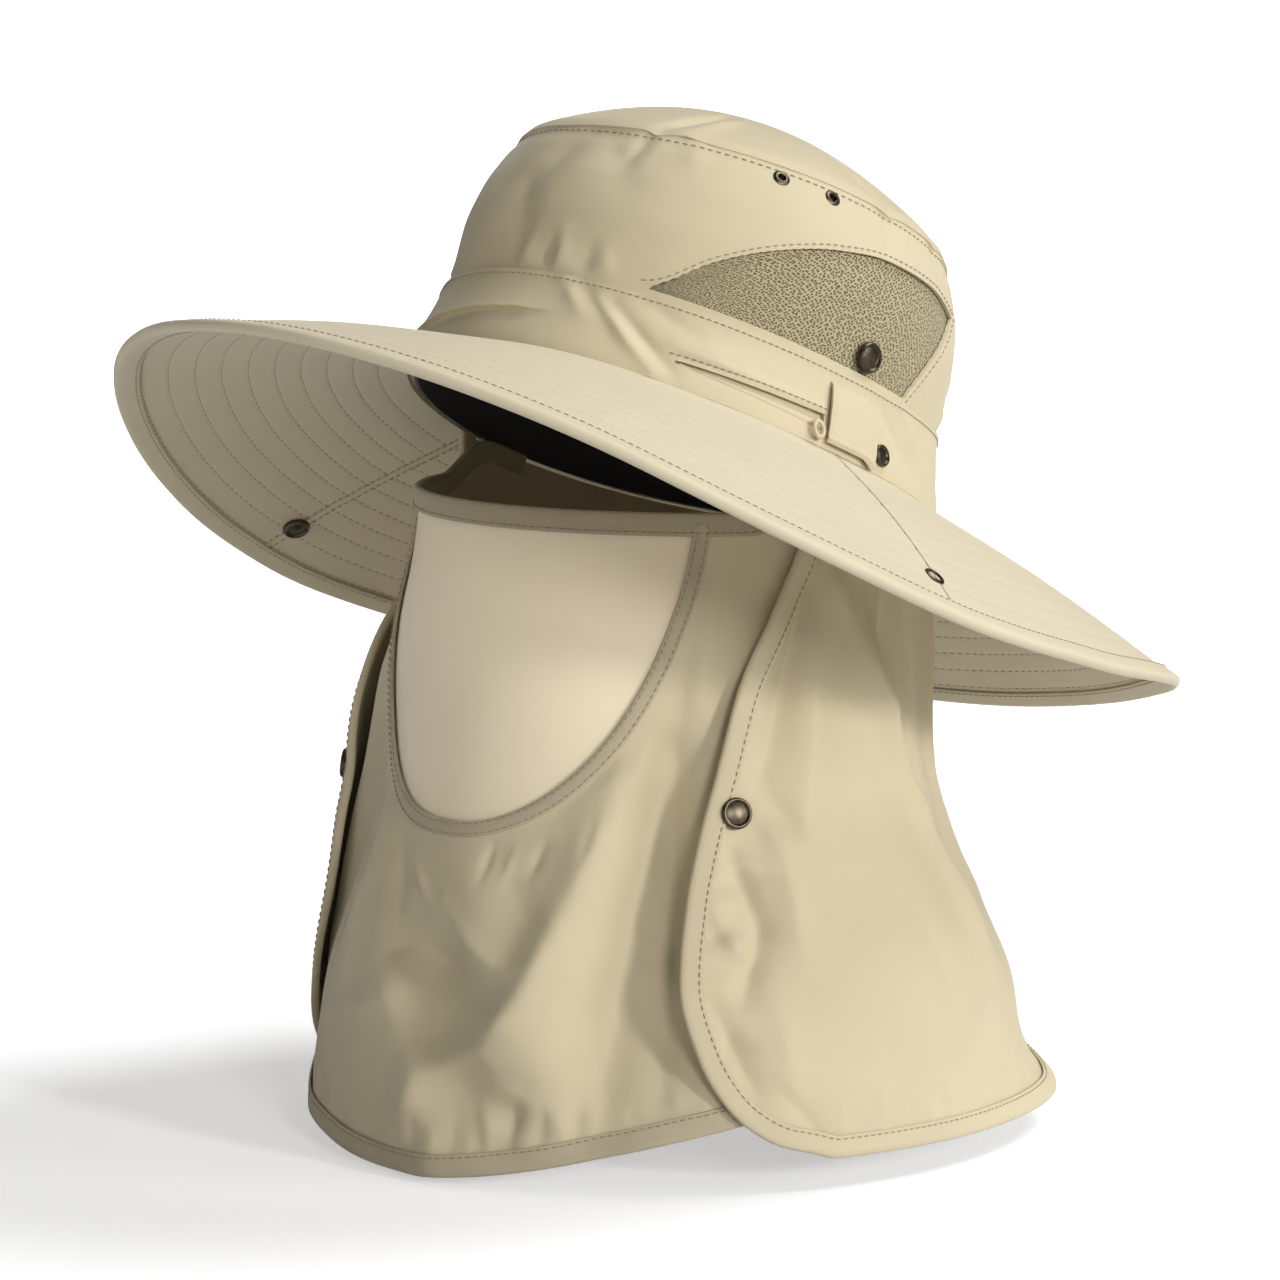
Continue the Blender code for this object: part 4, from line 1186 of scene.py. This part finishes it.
def make_crown():
    def wall(u, v):
        return crown(-180 + 360 * u, WALL_HEIGHT * v)

    piece = cloth("crown_wall_cloth", wall, 256, 60, WALL_CLOTH, closed=True)
    outlines = []
    for sign, _ in SIDES:
        outlines.append(lambda out, sign=sign: vent_ring(sign, out))
        for angle in EYELET_ANGLES:
            outlines.append(lambda out, angle=sign * angle: eyelet_ring(angle, out))
    cut(piece, prism(outlines, 0.030, 0.070))
    finish_piece(piece, KHAKI, ["crown_wall"])

    def dome(u, v):
        return crown_tip(-180 + 360 * u, v)

    tip = cloth("crown_tip_cloth", dome, 240, 40, WALL_CLOTH, closed=True,
                flat=lambda u, v: dome(u, v)[..., :2])
    lone(tip)
    bpy.ops.object.mode_set(mode="EDIT")
    bpy.ops.mesh.select_all(action="SELECT")
    bpy.ops.mesh.remove_doubles(threshold=0.00001)
    bpy.ops.object.mode_set(mode="OBJECT")
    shade(tip)
    finish_piece(tip, KHAKI, ["crown_tip"])
    for sign, side in SIDES:
        make_vent(sign, side)
        for number, angle in enumerate(EYELET_ANGLES, start=1):
            make_eyelet(sign * angle, side + "_" + str(number))
    sweat = cloth("sweatband_cloth", lambda u, v: crown_plain(
        -180 + 360 * u, -SWEATBAND_DROP + SWEATBAND_HEIGHT * v, -WALL_CLOTH - GAP * 2),
        200, 8, 0.0012, closed=True)
    finish_piece(sweat, LINING, ["sweatband"])
    stitch_trim("crown_stitches", surface_trim(crown, ROUND[:-1], WALL_HEIGHT - 0.0022, 1.0,
                                               0.001, closed=True), 0, 0.0001)


def make_vent(sign, side):
    def net(u, v):
        across = -0.02 + 1.04 * (u if sign > 0 else 1 - u)
        return vent_spot(sign, across, -0.03 + 1.08 * v, -WALL_CLOTH - 0.0005)

    piece = cloth("vent_mesh_" + side, net, 70, 24, VENT_CLOTH)
    finish_piece(piece, VENT, ["vent_" + side])
    angle = np.linspace(VENT_FRONT - 1.5, VENT_BACK[1], 90)
    top = read_table(VENT_TOP, "angle", angle, "rise") * WALL_HEIGHT
    trim = surface_trim(crown, sign * angle, top + VENT_MARGIN, 1.0, 0.001)
    stitch_trim("crown_stitches", trim, 0, 0.0001)
    part = np.linspace(0, 1, 20)
    back = VENT_BACK[0] + (VENT_BACK[1] - VENT_BACK[0]) * part + 1.6
    corner = read_table(VENT_TOP, "angle", VENT_BACK[1], "rise")
    rise = (VENT_FOOT + (corner - VENT_FOOT) * part) * WALL_HEIGHT
    stitch_trim("crown_stitches", surface_trim(crown, sign * back, rise, 1.0, 0.001), 0, 0.0001)


def make_eyelet(angle, name):
    bore, outer, lip, foot = 0.0013, 0.0029, 0.0007, -0.0014
    profile = [(bore, foot), (bore, lip * 0.6), (bore * 1.15, lip * 0.95), (bore * 1.5, lip),
               (outer * 0.88, lip * 0.75), (outer, lip * 0.3), (outer, 0.0002),
               (bore * 1.45, 0.0001), (bore * 1.45, foot), (bore, foot)]
    piece = turned("eyelet_ring_" + name, profile, eyelet_place(angle), 32)
    finish_piece(piece, BRONZE, ["eyelet_" + name])


def snap_profile(radius):
    high = radius * 0.32
    shape = [(1.0, -0.1), (1.0, 0.45), (0.96, 0.82), (0.89, 1.0), (0.81, 0.97), (0.76, 0.76),
             (0.72, 0.52), (0.68, 0.46), (0.62, 0.52), (0.46, 0.66), (0.28, 0.74), (0.14, 0.77),
             (0.0, 0.78)]
    return [(radius * wide, high * up) for wide, up in shape]


def make_snap(name, place, a, b, steps, radius, lift, nodes, flip=1.0):
    a, b = np.array(float(a)), np.array(float(b))
    outward = normals_of(place, a, b, *steps) * flip
    piece = turned(name, snap_profile(radius), facing(place(a, b) + outward * lift, outward))
    return finish_piece(piece, BRONZE, nodes)


# Band

STRAP_START, STRAP_END = 46.0, 80.0
STRAP_SLACK = 0.0014         # how far the strap hangs clear of its slit's upper lip
STRAP_RISE, STRAP_HALF = 0.0078, 0.00275
PLEAT = [(-46, 0.0022), (-34, 0.0052), (-24, 0.0077), (-8, 0.0102), (6, 0.0116), (18, 0.0124)]


def strap_half(part):
    return STRAP_HALF * (0.16 + 0.84 * part ** 0.8)


def strap_ring(sign, out):
    part = np.linspace(0, 1, 24)
    angle = np.concatenate([part, part[::-1]]) * (STRAP_END - STRAP_START) + STRAP_START
    half = np.concatenate([strap_half(part), -strap_half(part)[::-1]])
    return crown_plain(sign * angle, STRAP_RISE + half, out)


def pleat_ring(out):
    """A narrow fold that opens in the band at the front."""
    at = np.linspace(PLEAT[0][0], PLEAT[-1][0], 40)
    rise = np.interp(at, *zip(*PLEAT))
    half = 0.0005 * np.sin(np.linspace(0.15, math.pi, 40)) + 0.00004
    return crown_plain(np.concatenate([at, at[::-1]]),
                       np.concatenate([rise + half, (rise - half)[::-1]]), out)


def make_band():
    def face(u, v):
        rise = BAND_FOOT + (BAND_HEIGHT - BAND_FOOT) * v
        degrees = -180 + 360 * u
        lip = 0.0
        for sign, _ in SIDES:
            along = smooth((sign * degrees - STRAP_START + 4) / 8)
            along = along * (sign * degrees < STRAP_END + 1)
            lip = lip + 0.0007 * along * np.exp(-((rise - STRAP_RISE - 0.0042) / 0.0016) ** 2)
        above = rise - np.interp(degrees, *zip(*PLEAT), left=0, right=0)
        over = smooth(above / 0.0006) * np.exp(-np.maximum(above, 0) / 0.0045)
        under = smooth(-above / 0.0004) * np.exp(np.minimum(above, 0) / 0.003)
        fade = smooth((degrees + 50) / 10) * (1 - smooth((degrees - 4) / 14))
        return crown_band(degrees, rise, lip + (0.0021 * over - 0.0004 * under) * fade)

    band = cloth("crown_band_cloth", face, 360, 56, BAND_CLOTH, closed=True)
    cut(band, prism([lambda out: strap_ring(1, out), lambda out: strap_ring(-1, out),
                     pleat_ring], 0.004, 0.012), folded=True)
    finish_piece(band, KHAKI, ["crown_band"])
    stitch_trim("band_stitches", surface_trim(crown_band, ROUND[:-1], BAND_HEIGHT - 0.0016,
                                              1.0, 0.001, closed=True), 0, 0.0001,
                pitch=BAND_PITCH)
    for sign, side in SIDES:
        make_strap(sign, side)
        make_belt_loop(sign, side)
        angle = np.linspace(STRAP_START - 1, STRAP_END, 40)
        part = np.clip((angle - STRAP_START) / (STRAP_END - STRAP_START), 0, 1)
        rise = STRAP_RISE + strap_half(part) + 0.0016
        trim = surface_trim(crown_band, sign * angle, rise, 1.0, 0.001)
        stitch_trim("band_stitches", trim, 0, 0.0008, pitch=BAND_PITCH)


def make_strap(sign, side):
    def place(u, v):
        along = u if sign > 0 else 1 - u
        part = 0.03 + 0.95 * along
        angle = STRAP_START + (STRAP_END - STRAP_START) * part
        middle = STRAP_RISE - STRAP_SLACK * (0.4 + 0.6 * part)
        bulge = 0.0004 * np.sin(math.pi * v)
        half = strap_half(part) + middle - STRAP_RISE
        return crown_plain(sign * angle, middle + half * (2 * v - 1),
                           GAP + BAND_CLOTH * 0.62 + bulge)

    piece = cloth("adjuster_strap_cloth_" + side, place, 40, 6, 0.0007)
    finish_piece(piece, KHAKI, ["adjuster_strap_" + side])


def make_belt_loop(sign, side):
    first, last = LOOP_ANGLES
    base = GAP * 3 + BAND_CLOTH + LOOP_CLOTH

    def place(u, v):
        across = u if sign > 0 else 1 - u
        angle = sign * (first + (last - first) * across)
        rise = LOOP_FOOT + (LOOP_HEIGHT - LOOP_FOOT) * v
        rise = rise - 0.0022 * smooth((across - 0.72) / 0.28) * (1 - v) ** 3
        edge = 0.0005 * np.abs(2 * u - 1) ** 10
        stand = 0.0011 * np.sin(math.pi * np.clip(v * 1.05, 0, 1)) ** 0.7
        ridge = 0.0006 * np.exp(-((v - 0.07) / 0.035) ** 2)
        tuck = 0.0012 * smooth((v - 0.94) / 0.06)
        return crown_plain(angle, rise, base + stand + ridge - edge - tuck)

    piece = cloth("belt_loop_cloth_" + side, place, 24, 34, LOOP_CLOTH)
    finish_piece(piece, KHAKI, ["belt_loop_" + side])
    centre = crown_plain(np.array(sign * (first - 2.6)), np.array(0.0046), base + 0.0002)
    outward = normals_of(crown_plain, np.array(sign * first), np.array(0.004), 1.0, 0.002)
    ring = cord_ring("keeper_loop_" + side, facing(centre, outward), 0.0019, 0.0026, 0.0008)
    finish_piece(ring, KHAKI, ["keeper_" + side])
    make_snap("band_snap_cap_" + side, crown_plain, sign * (last + 3.0), 0.0060, (1.0, 0.002),
              0.0037, GAP * 2 + BAND_CLOTH, ["band_snap_" + side])
    make_snap("crown_snap_cap_" + side, crown_plain, sign * 90.0, CROWN_SNAP_RISE,
              (1.0, 0.002), 0.0052, GAP, ["crown_snap_" + side])


def cord_ring(name, matrix, wide, high, radius, sides=12, steps=32):
    """A closed loop of round cord in a plane."""
    turns = np.linspace(0, 2 * math.pi, steps + 1)[:-1]
    middle = np.stack([wide * np.cos(turns), high * np.sin(turns), turns * 0], axis=-1)
    run = unit(np.roll(middle, -1, axis=0) - np.roll(middle, 1, axis=0))
    up = np.array([0.0, 0.0, 1.0])
    side = np.cross(run, up)
    rings = [middle + radius * (side * math.cos(angle) + up * math.sin(angle))
             for angle in np.linspace(0, 2 * math.pi, sides + 1)[:-1]]
    points = np.stack(rings, axis=1).reshape(-1, 3)
    points = np.array([matrix @ Vector(point) for point in points]).reshape(steps, sides, 3)
    return skin(name, points, True)


# Brim

def brim_shares():
    """Rows of the brim's grid: close together at each ring of stitches."""
    step = 1 / (BRIM_ROWS + 0.9)
    lines = [(index + 1) * step for index in range(BRIM_ROWS)]
    near = 0.0095
    shares = [-0.012, 0.0, 0.02]
    for line in lines:
        shares += [line + near * off for off in (-1.6, -0.7, 0, 0.7, 1.6)]
        shares.append(line + step / 2)
    shares = [share for share in shares if share < 0.975] + [0.985]
    groove = np.zeros(len(shares))
    for line in lines:
        groove += 0.00024 * np.exp(-((np.array(shares) - line) / (near * 0.6)) ** 2)
    return lines, np.array(shares), groove


def make_brim():
    lines, shares, groove = brim_shares()
    degrees = np.linspace(-180, 180, 301)[:-1]
    section = np.concatenate([shares, shares[::-1]])
    up = np.concatenate([-groove, (groove - BRIM_CLOTH)[::-1]])
    grid = np.meshgrid(degrees, section, indexing="ij")
    ups = np.broadcast_to(up, grid[0].shape)
    rings = brim(grid[0], grid[1], ups)
    wide = np.meshgrid(np.append(degrees, 180.0), np.append(section, section[0]), indexing="ij")
    plan = brim_level(wide[0], wide[1])[..., :2]
    piece = skin("brim_cloth", rings, True, plan)
    finish_piece(piece, BRIM_KHAKI_PAINTED_LIT, ["brim"])

    def below(a, b):
        return brim(a, b, -BRIM_CLOTH)

    for line in lines:
        trim = surface_trim(below, ROUND[:-1], line, 1.0, 0.01, closed=True)
        stitch_trim("brim_stitches_below", trim, 0, -0.0002, pitch=BRIM_PITCH, length=0.0022,
                    radius=0.00016)
        trim = surface_trim(brim, ROUND[:-1], line, 1.0, -0.01, closed=True)
        stitch_trim("brim_stitches_above", trim, 0, -0.00028, pitch=BRIM_PITCH, length=0.0020,
                    radius=0.00012)
    edge = surface_trim(brim, ROUND[:-1], 1.0, 1.0, -0.01, closed=True)
    middle = Trim(edge.shifted(0, -BRIM_CLOTH / 2), edge.normals, True)
    if middle.inward[180] @ (middle.points[180] * -1) < 0:
        middle.inward *= -1
    binding = edging("brim_binding_tape", middle,
                     folded_strip(BINDING_WIDTH, BRIM_CLOTH, 0.0017))
    finish_piece(binding, BRIM_KHAKI_PAINTED_LIT, ["brim_binding"])
    for face in (1, -1):
        trim = Trim(middle.points, middle.normals * face, True)
        trim.inward = middle.inward
        stitch_trim("binding_stitches", trim, BINDING_WIDTH - STITCH_INSET, BINDING_STAND,
                    pitch=HEM_PITCH, radius=0.00016)
    for sign, side in SIDES:
        make_brim_seam(sign, side)
        make_snap("brim_snap_cap_" + side, brim, sign * BRIM_SNAP_ANGLE, BRIM_SNAP_PLACE,
                  (1.0, -0.02), 0.0047, BRIM_CLOTH + GAP, ["brim_snap_" + side], -1.0)
        make_stud(sign, side)


def make_stud(sign, side):
    """The back of the brim's snap: a thin ring that shows above the cloth."""
    a, b = np.array(sign * BRIM_SNAP_ANGLE), np.array(BRIM_SNAP_PLACE)
    outward = normals_of(brim, a, b, 1.0, -0.02)
    bore, radius, high = 0.0024, 0.0036, 0.0007
    profile = [(bore, -0.0002), (bore, high * 0.6), (bore * 1.12, high), (radius * 0.86, high),
               (radius, high * 0.4), (radius, -0.0002), (bore, -0.0002)]
    ring = turned("brim_stud_ring_" + side, profile, facing(brim(a, b), outward), 36)
    finish_piece(ring, BRONZE, ["brim_stud_" + side])


def make_brim_seam(sign, side):
    """The seam that joins the brim's halves at the side, above and below."""
    shares = np.linspace(0.01, 0.98, 60)
    degrees = sign * (BRIM_SEAM_ANGLE - shares)
    for name, up, turn, wide, high, material in (
            ("above", 0.0, -1, 0.0004, 0.00016, THREAD),
            ("below", -BRIM_CLOTH, 1, 0.0014, 0.0004, BRIM_KHAKI_PAINTED_LIT)):
        trim = surface_trim(lambda a, b, up=up: brim(a, b, up), degrees, shares, 1.0,
                            0.01 * turn)
        strip = edging("brim_seam_" + name + "_" + side, trim, flat_strip(wide, high))
        finish_piece(strip, material)
    for across in (-0.0018, 0.0018):
        stitch_trim("brim_stitches_below", trim, across, 0.0001)


# Face cover

def panel_curve(part):
    """The rounded U of the panel, 1 wide each way and 1 deep, from left to right."""
    turn = math.pi * np.asarray(part, float)
    sine, cosine = np.abs(np.sin(turn)), np.cos(turn)
    return (np.copysign(np.abs(cosine) ** (2 / PANEL_ROUNDNESS), cosine),
            sine ** (2 / PANEL_ROUNDNESS))


def panel_spot(x, depth, out=0.0):
    """A point of the face cover at a distance across and below its top band."""
    z = -VEIL_TOP - TOP_BAND_WIDTH - depth
    side = read_table(DRAPE_SECTIONS, "level", -z / DRAPE_HEIGHT, "side") * DRAPE_SIDE
    degrees = np.degrees(np.arcsin(np.clip(x / side, -1, 1)))
    top, hem, _, _ = veil_span(degrees)
    return veil(degrees, (top - z) / (top - hem), out, 0.0)


def panel_border(out):
    part = np.linspace(0, 1, 72)
    across, down = panel_curve(part)
    x = np.concatenate([[PANEL_HALF_WIDTH], across * PANEL_HALF_WIDTH, [-PANEL_HALF_WIDTH]])
    depth = np.concatenate([[-TOP_BAND_WIDTH], down * PANEL_DEPTH, [-TOP_BAND_WIDTH]])
    return panel_spot(x, depth, out)


def make_veil():
    def face(u, v):
        degrees = -VEIL_END + 2 * VEIL_END * u
        inset = 0.0008 / veil_height(degrees)
        return veil(degrees, inset + (1 - 2 * inset) * v)

    piece = cloth("veil_cloth", face, 300, 130, VEIL_CLOTH, flip=True)
    cut(piece, prism([panel_border], 0.030, 0.110))
    finish_piece(piece, KHAKI, ["veil"])

    def panel(u, v):
        across, down = panel_curve(0.5 - 0.485 * (2 * u - 1))
        x = across * (PANEL_HALF_WIDTH + 0.002)
        return panel_spot(x, (down * (PANEL_DEPTH + 0.002) + 0.004) * (1 - v) - 0.004,
                          -VEIL_CLOTH - 0.0001)

    window = cloth("face_panel_cloth", panel, 90, 50, VEIL_CLOTH)
    finish_piece(window, PANEL_KHAKI_PALE_AND_PAINTED_LIT, ["face_panel"])
    across, down = panel_curve(np.linspace(0.0, 1.0, 200))
    x, depth = across * PANEL_HALF_WIDTH, down * PANEL_DEPTH - 0.001
    normals = normals_of(lambda a, b: panel_spot(a, -b), x, -depth, 0.002, 0.002)
    points, normals = spread_evenly(panel_spot(x, depth), normals, spacing=0.0018)
    trim = Trim(points, unit(normals))
    tape = edging("panel_tape_strip", trim, flat_strip(TAPE_WIDTH, 0.0009))
    finish_piece(tape, TRIM_KHAKI, ["panel_tape"])
    for sense in (-1, 1):
        stitch_trim("veil_stitches", trim, sense * (TAPE_WIDTH / 2 - 0.0009), 0.00095,
                    pitch=HEM_PITCH)
    degrees = np.linspace(-VEIL_END, VEIL_END, 240)
    for name, share, width, nodes, sense in (
            ("veil_top_band_roll", 0.0, TOP_BAND_WIDTH, ["veil_top_band"], -1),
            ("veil_hem_tape", 1.0, HEM_WIDTH, ["veil_hem"], 1)):
        points = veil(degrees, share + degrees * 0, -VEIL_CLOTH / 2)
        normals = normals_of(veil, degrees, share + degrees * 0, 0.7, -0.006)
        points, normals = spread_evenly(points, normals, spacing=0.0016)
        trim = Trim(points, unit(normals), side=sense)
        strip = edging(name, trim, folded_strip(width, VEIL_CLOTH, 0.0011))
        finish_piece(strip, ROLL_KHAKI if sense < 0 else TRIM_KHAKI, nodes)
        stitch_trim("veil_stitches", trim, width - STITCH_INSET,
                    VEIL_CLOTH / 2 + STITCH_STAND, pitch=HEM_PITCH)


# Neck flap

def cape_widths(share):
    """What share of the flap's width a metre is."""
    reach = np.radians(360 - 2 * cape_front(share)) * (DRAPE_SIDE + DRAPE_BACK) / 2
    return 1 / reach


def cape_path():
    """Along and share round the flap: down its left front edge, its hem, up the right."""
    side = 1 - (1 - np.linspace(0.0, 1, 90)) ** 1.5
    along = np.concatenate([side[:-1] * 0, np.linspace(0, 1, 300), side[:-1] * 0 + 1])
    share = np.concatenate([side[:-1], np.ones(300), side[:-1][::-1]])
    return along, share


def soften(values, times_over=3):
    for _ in range(times_over):
        inner = (values[:-2] + 2 * values[1:-1] + values[2:]) / 4
        values = np.concatenate([values[:1], inner, values[-1:]])
    return values


def make_cape():
    def face(u, v):
        share = (1 - (1 - v) ** 1.5) * (1 - 0.0009 / CAPE_HEM)
        inset = 0.0009 * cape_widths(share)
        return cape_cloth(inset + (1 - 2 * inset) * u, share)

    even = np.linspace(0, 1, 351)
    closer_at_the_edges = even - 0.5 * np.sin(2 * math.pi * even) / (2 * math.pi)
    piece = cloth("neck_flap_cloth", face, closer_at_the_edges, 120, CAPE_CLOTH, flip=True)
    finish_piece(piece, KHAKI, ["neck_flap"])
    along, share = cape_path()
    points = cape_cloth(along, share, -CAPE_CLOTH / 2)
    normals = normals_of(cape_cloth, along, share, 0.002, -0.004)
    points, normals = spread_evenly(points, normals, spacing=0.0016)
    trim = Trim(soften(points), unit(soften(normals, 8)))
    strip = edging("flap_binding_tape", trim, folded_strip(CAPE_BINDING, CAPE_CLOTH, 0.0012))
    finish_piece(strip, BINDING_KHAKI, ["flap_binding"])
    stitch_trim("flap_stitches", trim, CAPE_BINDING - STITCH_INSET,
                CAPE_CLOTH / 2 + STITCH_STAND, pitch=HEM_PITCH)
    for sign, side in SIDES:
        front = float(cape_front(np.array(FLAP_SNAP_LEVEL)))
        inset = FLAP_SNAP_INSET * float(cape_widths(np.array(FLAP_SNAP_LEVEL)))
        angle = sign * (front + (360 - 2 * front) * inset)
        make_snap("flap_snap_cap_" + side, cape, angle, FLAP_SNAP_LEVEL, (1.5, -0.01), 0.0051,
                  0.0013, ["flap_snap_" + side])
        make_flap_loop(sign, side)
        make_tab(sign, side)


def make_flap_loop(sign, side):
    angle = sign * (CAPE_FRONT[1]["angle"] - 1.5)
    a, b = np.array(angle), np.array(FLAP_LOOP_SHARE)
    outward = normals_of(cape, a, b, 1.5, -0.01)
    centre = cape(a, b) + outward * 0.0022
    ring = cord_ring("flap_loop_cord_" + side, facing(centre, outward), 0.0028, 0.0048, 0.0012)
    finish_piece(ring, TRIM_KHAKI, ["flap_loop_" + side])


def make_tab(sign, side):
    def place(u, v):
        turn = 1.6 * (2 * u - 1) * (0.1 + 0.9 * v)
        return cape(sign * TAB_ANGLE + turn, TAB_FOOT - TAB_HEIGHT / CAPE_HEM * v, 0.0016)

    piece = cloth("tab_cloth_" + side, place, 6, 8, 0.0010)
    finish_piece(piece, LINING, ["tab_" + side])


# Studio

FLOOR = -0.2318
FLOOR_RADIUS = 2.2
FLOOR_CURVE = 0.6
# Each light's name, where it comes from, its strength and how soft it is in degrees
LIGHTS = [
    ("key", (0.95, 0.05, 0.28), 1.50, 8),
    ("quarter", (0.80, -0.40, 0.28), 1.00, 14),
    ("rim", (0.85, 0.50, 0.35), 0.60, 20),
    ("top", (0.25, 0.45, 0.90), 1.95, 30),
]
CAMERA = (1.0487, -1.0627, 0.0903)
TARGET = (-0.0060, -0.0080, -0.0689)
LENS = 125.72


def make_studio():
    """A white dish for a floor, and four soft suns: key, quarter, rim and top."""
    bpy.ops.object.select_all(action="DESELECT")
    bpy.ops.mesh.primitive_circle_add(vertices=96, radius=FLOOR_RADIUS, fill_type="NGON",
                                      location=(0, 0, FLOOR))
    floor = bpy.context.object
    floor.name = "floor"
    bpy.ops.object.transform_apply(location=True, rotation=True, scale=True)
    bpy.ops.object.mode_set(mode="EDIT")
    bpy.ops.mesh.select_all(action="DESELECT")
    bpy.ops.object.mode_set(mode="OBJECT")
    for edge in floor.data.edges:
        edge.select = True
    bpy.ops.object.mode_set(mode="EDIT")
    bpy.ops.mesh.select_mode(type="EDGE")
    radius, height = FLOOR_RADIUS, 0.0
    for angle in range(10, 91, 10):
        wide = FLOOR_RADIUS + FLOOR_CURVE * math.sin(math.radians(angle))
        high = FLOOR_CURVE * (1 - math.cos(math.radians(angle)))
        bpy.ops.mesh.select_all(action="DESELECT")
        bpy.ops.object.mode_set(mode="OBJECT")
        for vert in floor.data.vertices:
            far = math.hypot(vert.co.x, vert.co.y)
            vert.select = abs(far - radius) < 0.001 and abs(vert.co.z - FLOOR - height) < 0.001
        bpy.ops.object.mode_set(mode="EDIT")
        bpy.ops.mesh.select_mode(type="VERT")
        bpy.ops.mesh.extrude_edges_move(
            TRANSFORM_OT_translate={"value": (0, 0, high - height)})
        bpy.ops.transform.resize(value=(wide / radius, wide / radius, 1),
                                 center_override=(0, 0, 0))
        radius, height = wide, high
    bpy.ops.object.mode_set(mode="OBJECT")
    shade(floor, 60)
    floor.data.materials.append(board("studio_floor", colour(0.77, 0.775, 0.79)))

    for name, source, strength, soft in LIGHTS:
        light = bpy.data.lights.new(name, "SUN")
        light.energy = strength
        light.angle = math.radians(soft)
        item = bpy.data.objects.new(name, light)
        item.rotation_euler = Vector(source).to_track_quat("Z", "Y").to_euler()
        bpy.context.scene.collection.objects.link(item)
    world = bpy.data.worlds.new("studio")
    world.use_nodes = True
    background = world.node_tree.nodes["Background"]
    background.inputs["Color"].default_value = colour(1.0, 0.95, 0.85)
    background.inputs["Strength"].default_value = 0.03
    bpy.context.scene.world = world
    bpy.context.scene.view_settings.view_transform = "Standard"


def make_camera():
    data = bpy.data.cameras.new("camera")
    data.lens = LENS
    data.sensor_width = 36.0
    item = bpy.data.objects.new("camera", data)
    item.location = CAMERA
    item.rotation_euler = (Vector(TARGET) - Vector(CAMERA)).to_track_quat("-Z", "Y").to_euler()
    bpy.context.scene.collection.objects.link(item)
    bpy.context.scene.camera = item


make_camera()
make_crown()
make_band()
make_brim()
make_veil()
make_cape()
make_stitches()
make_studio()
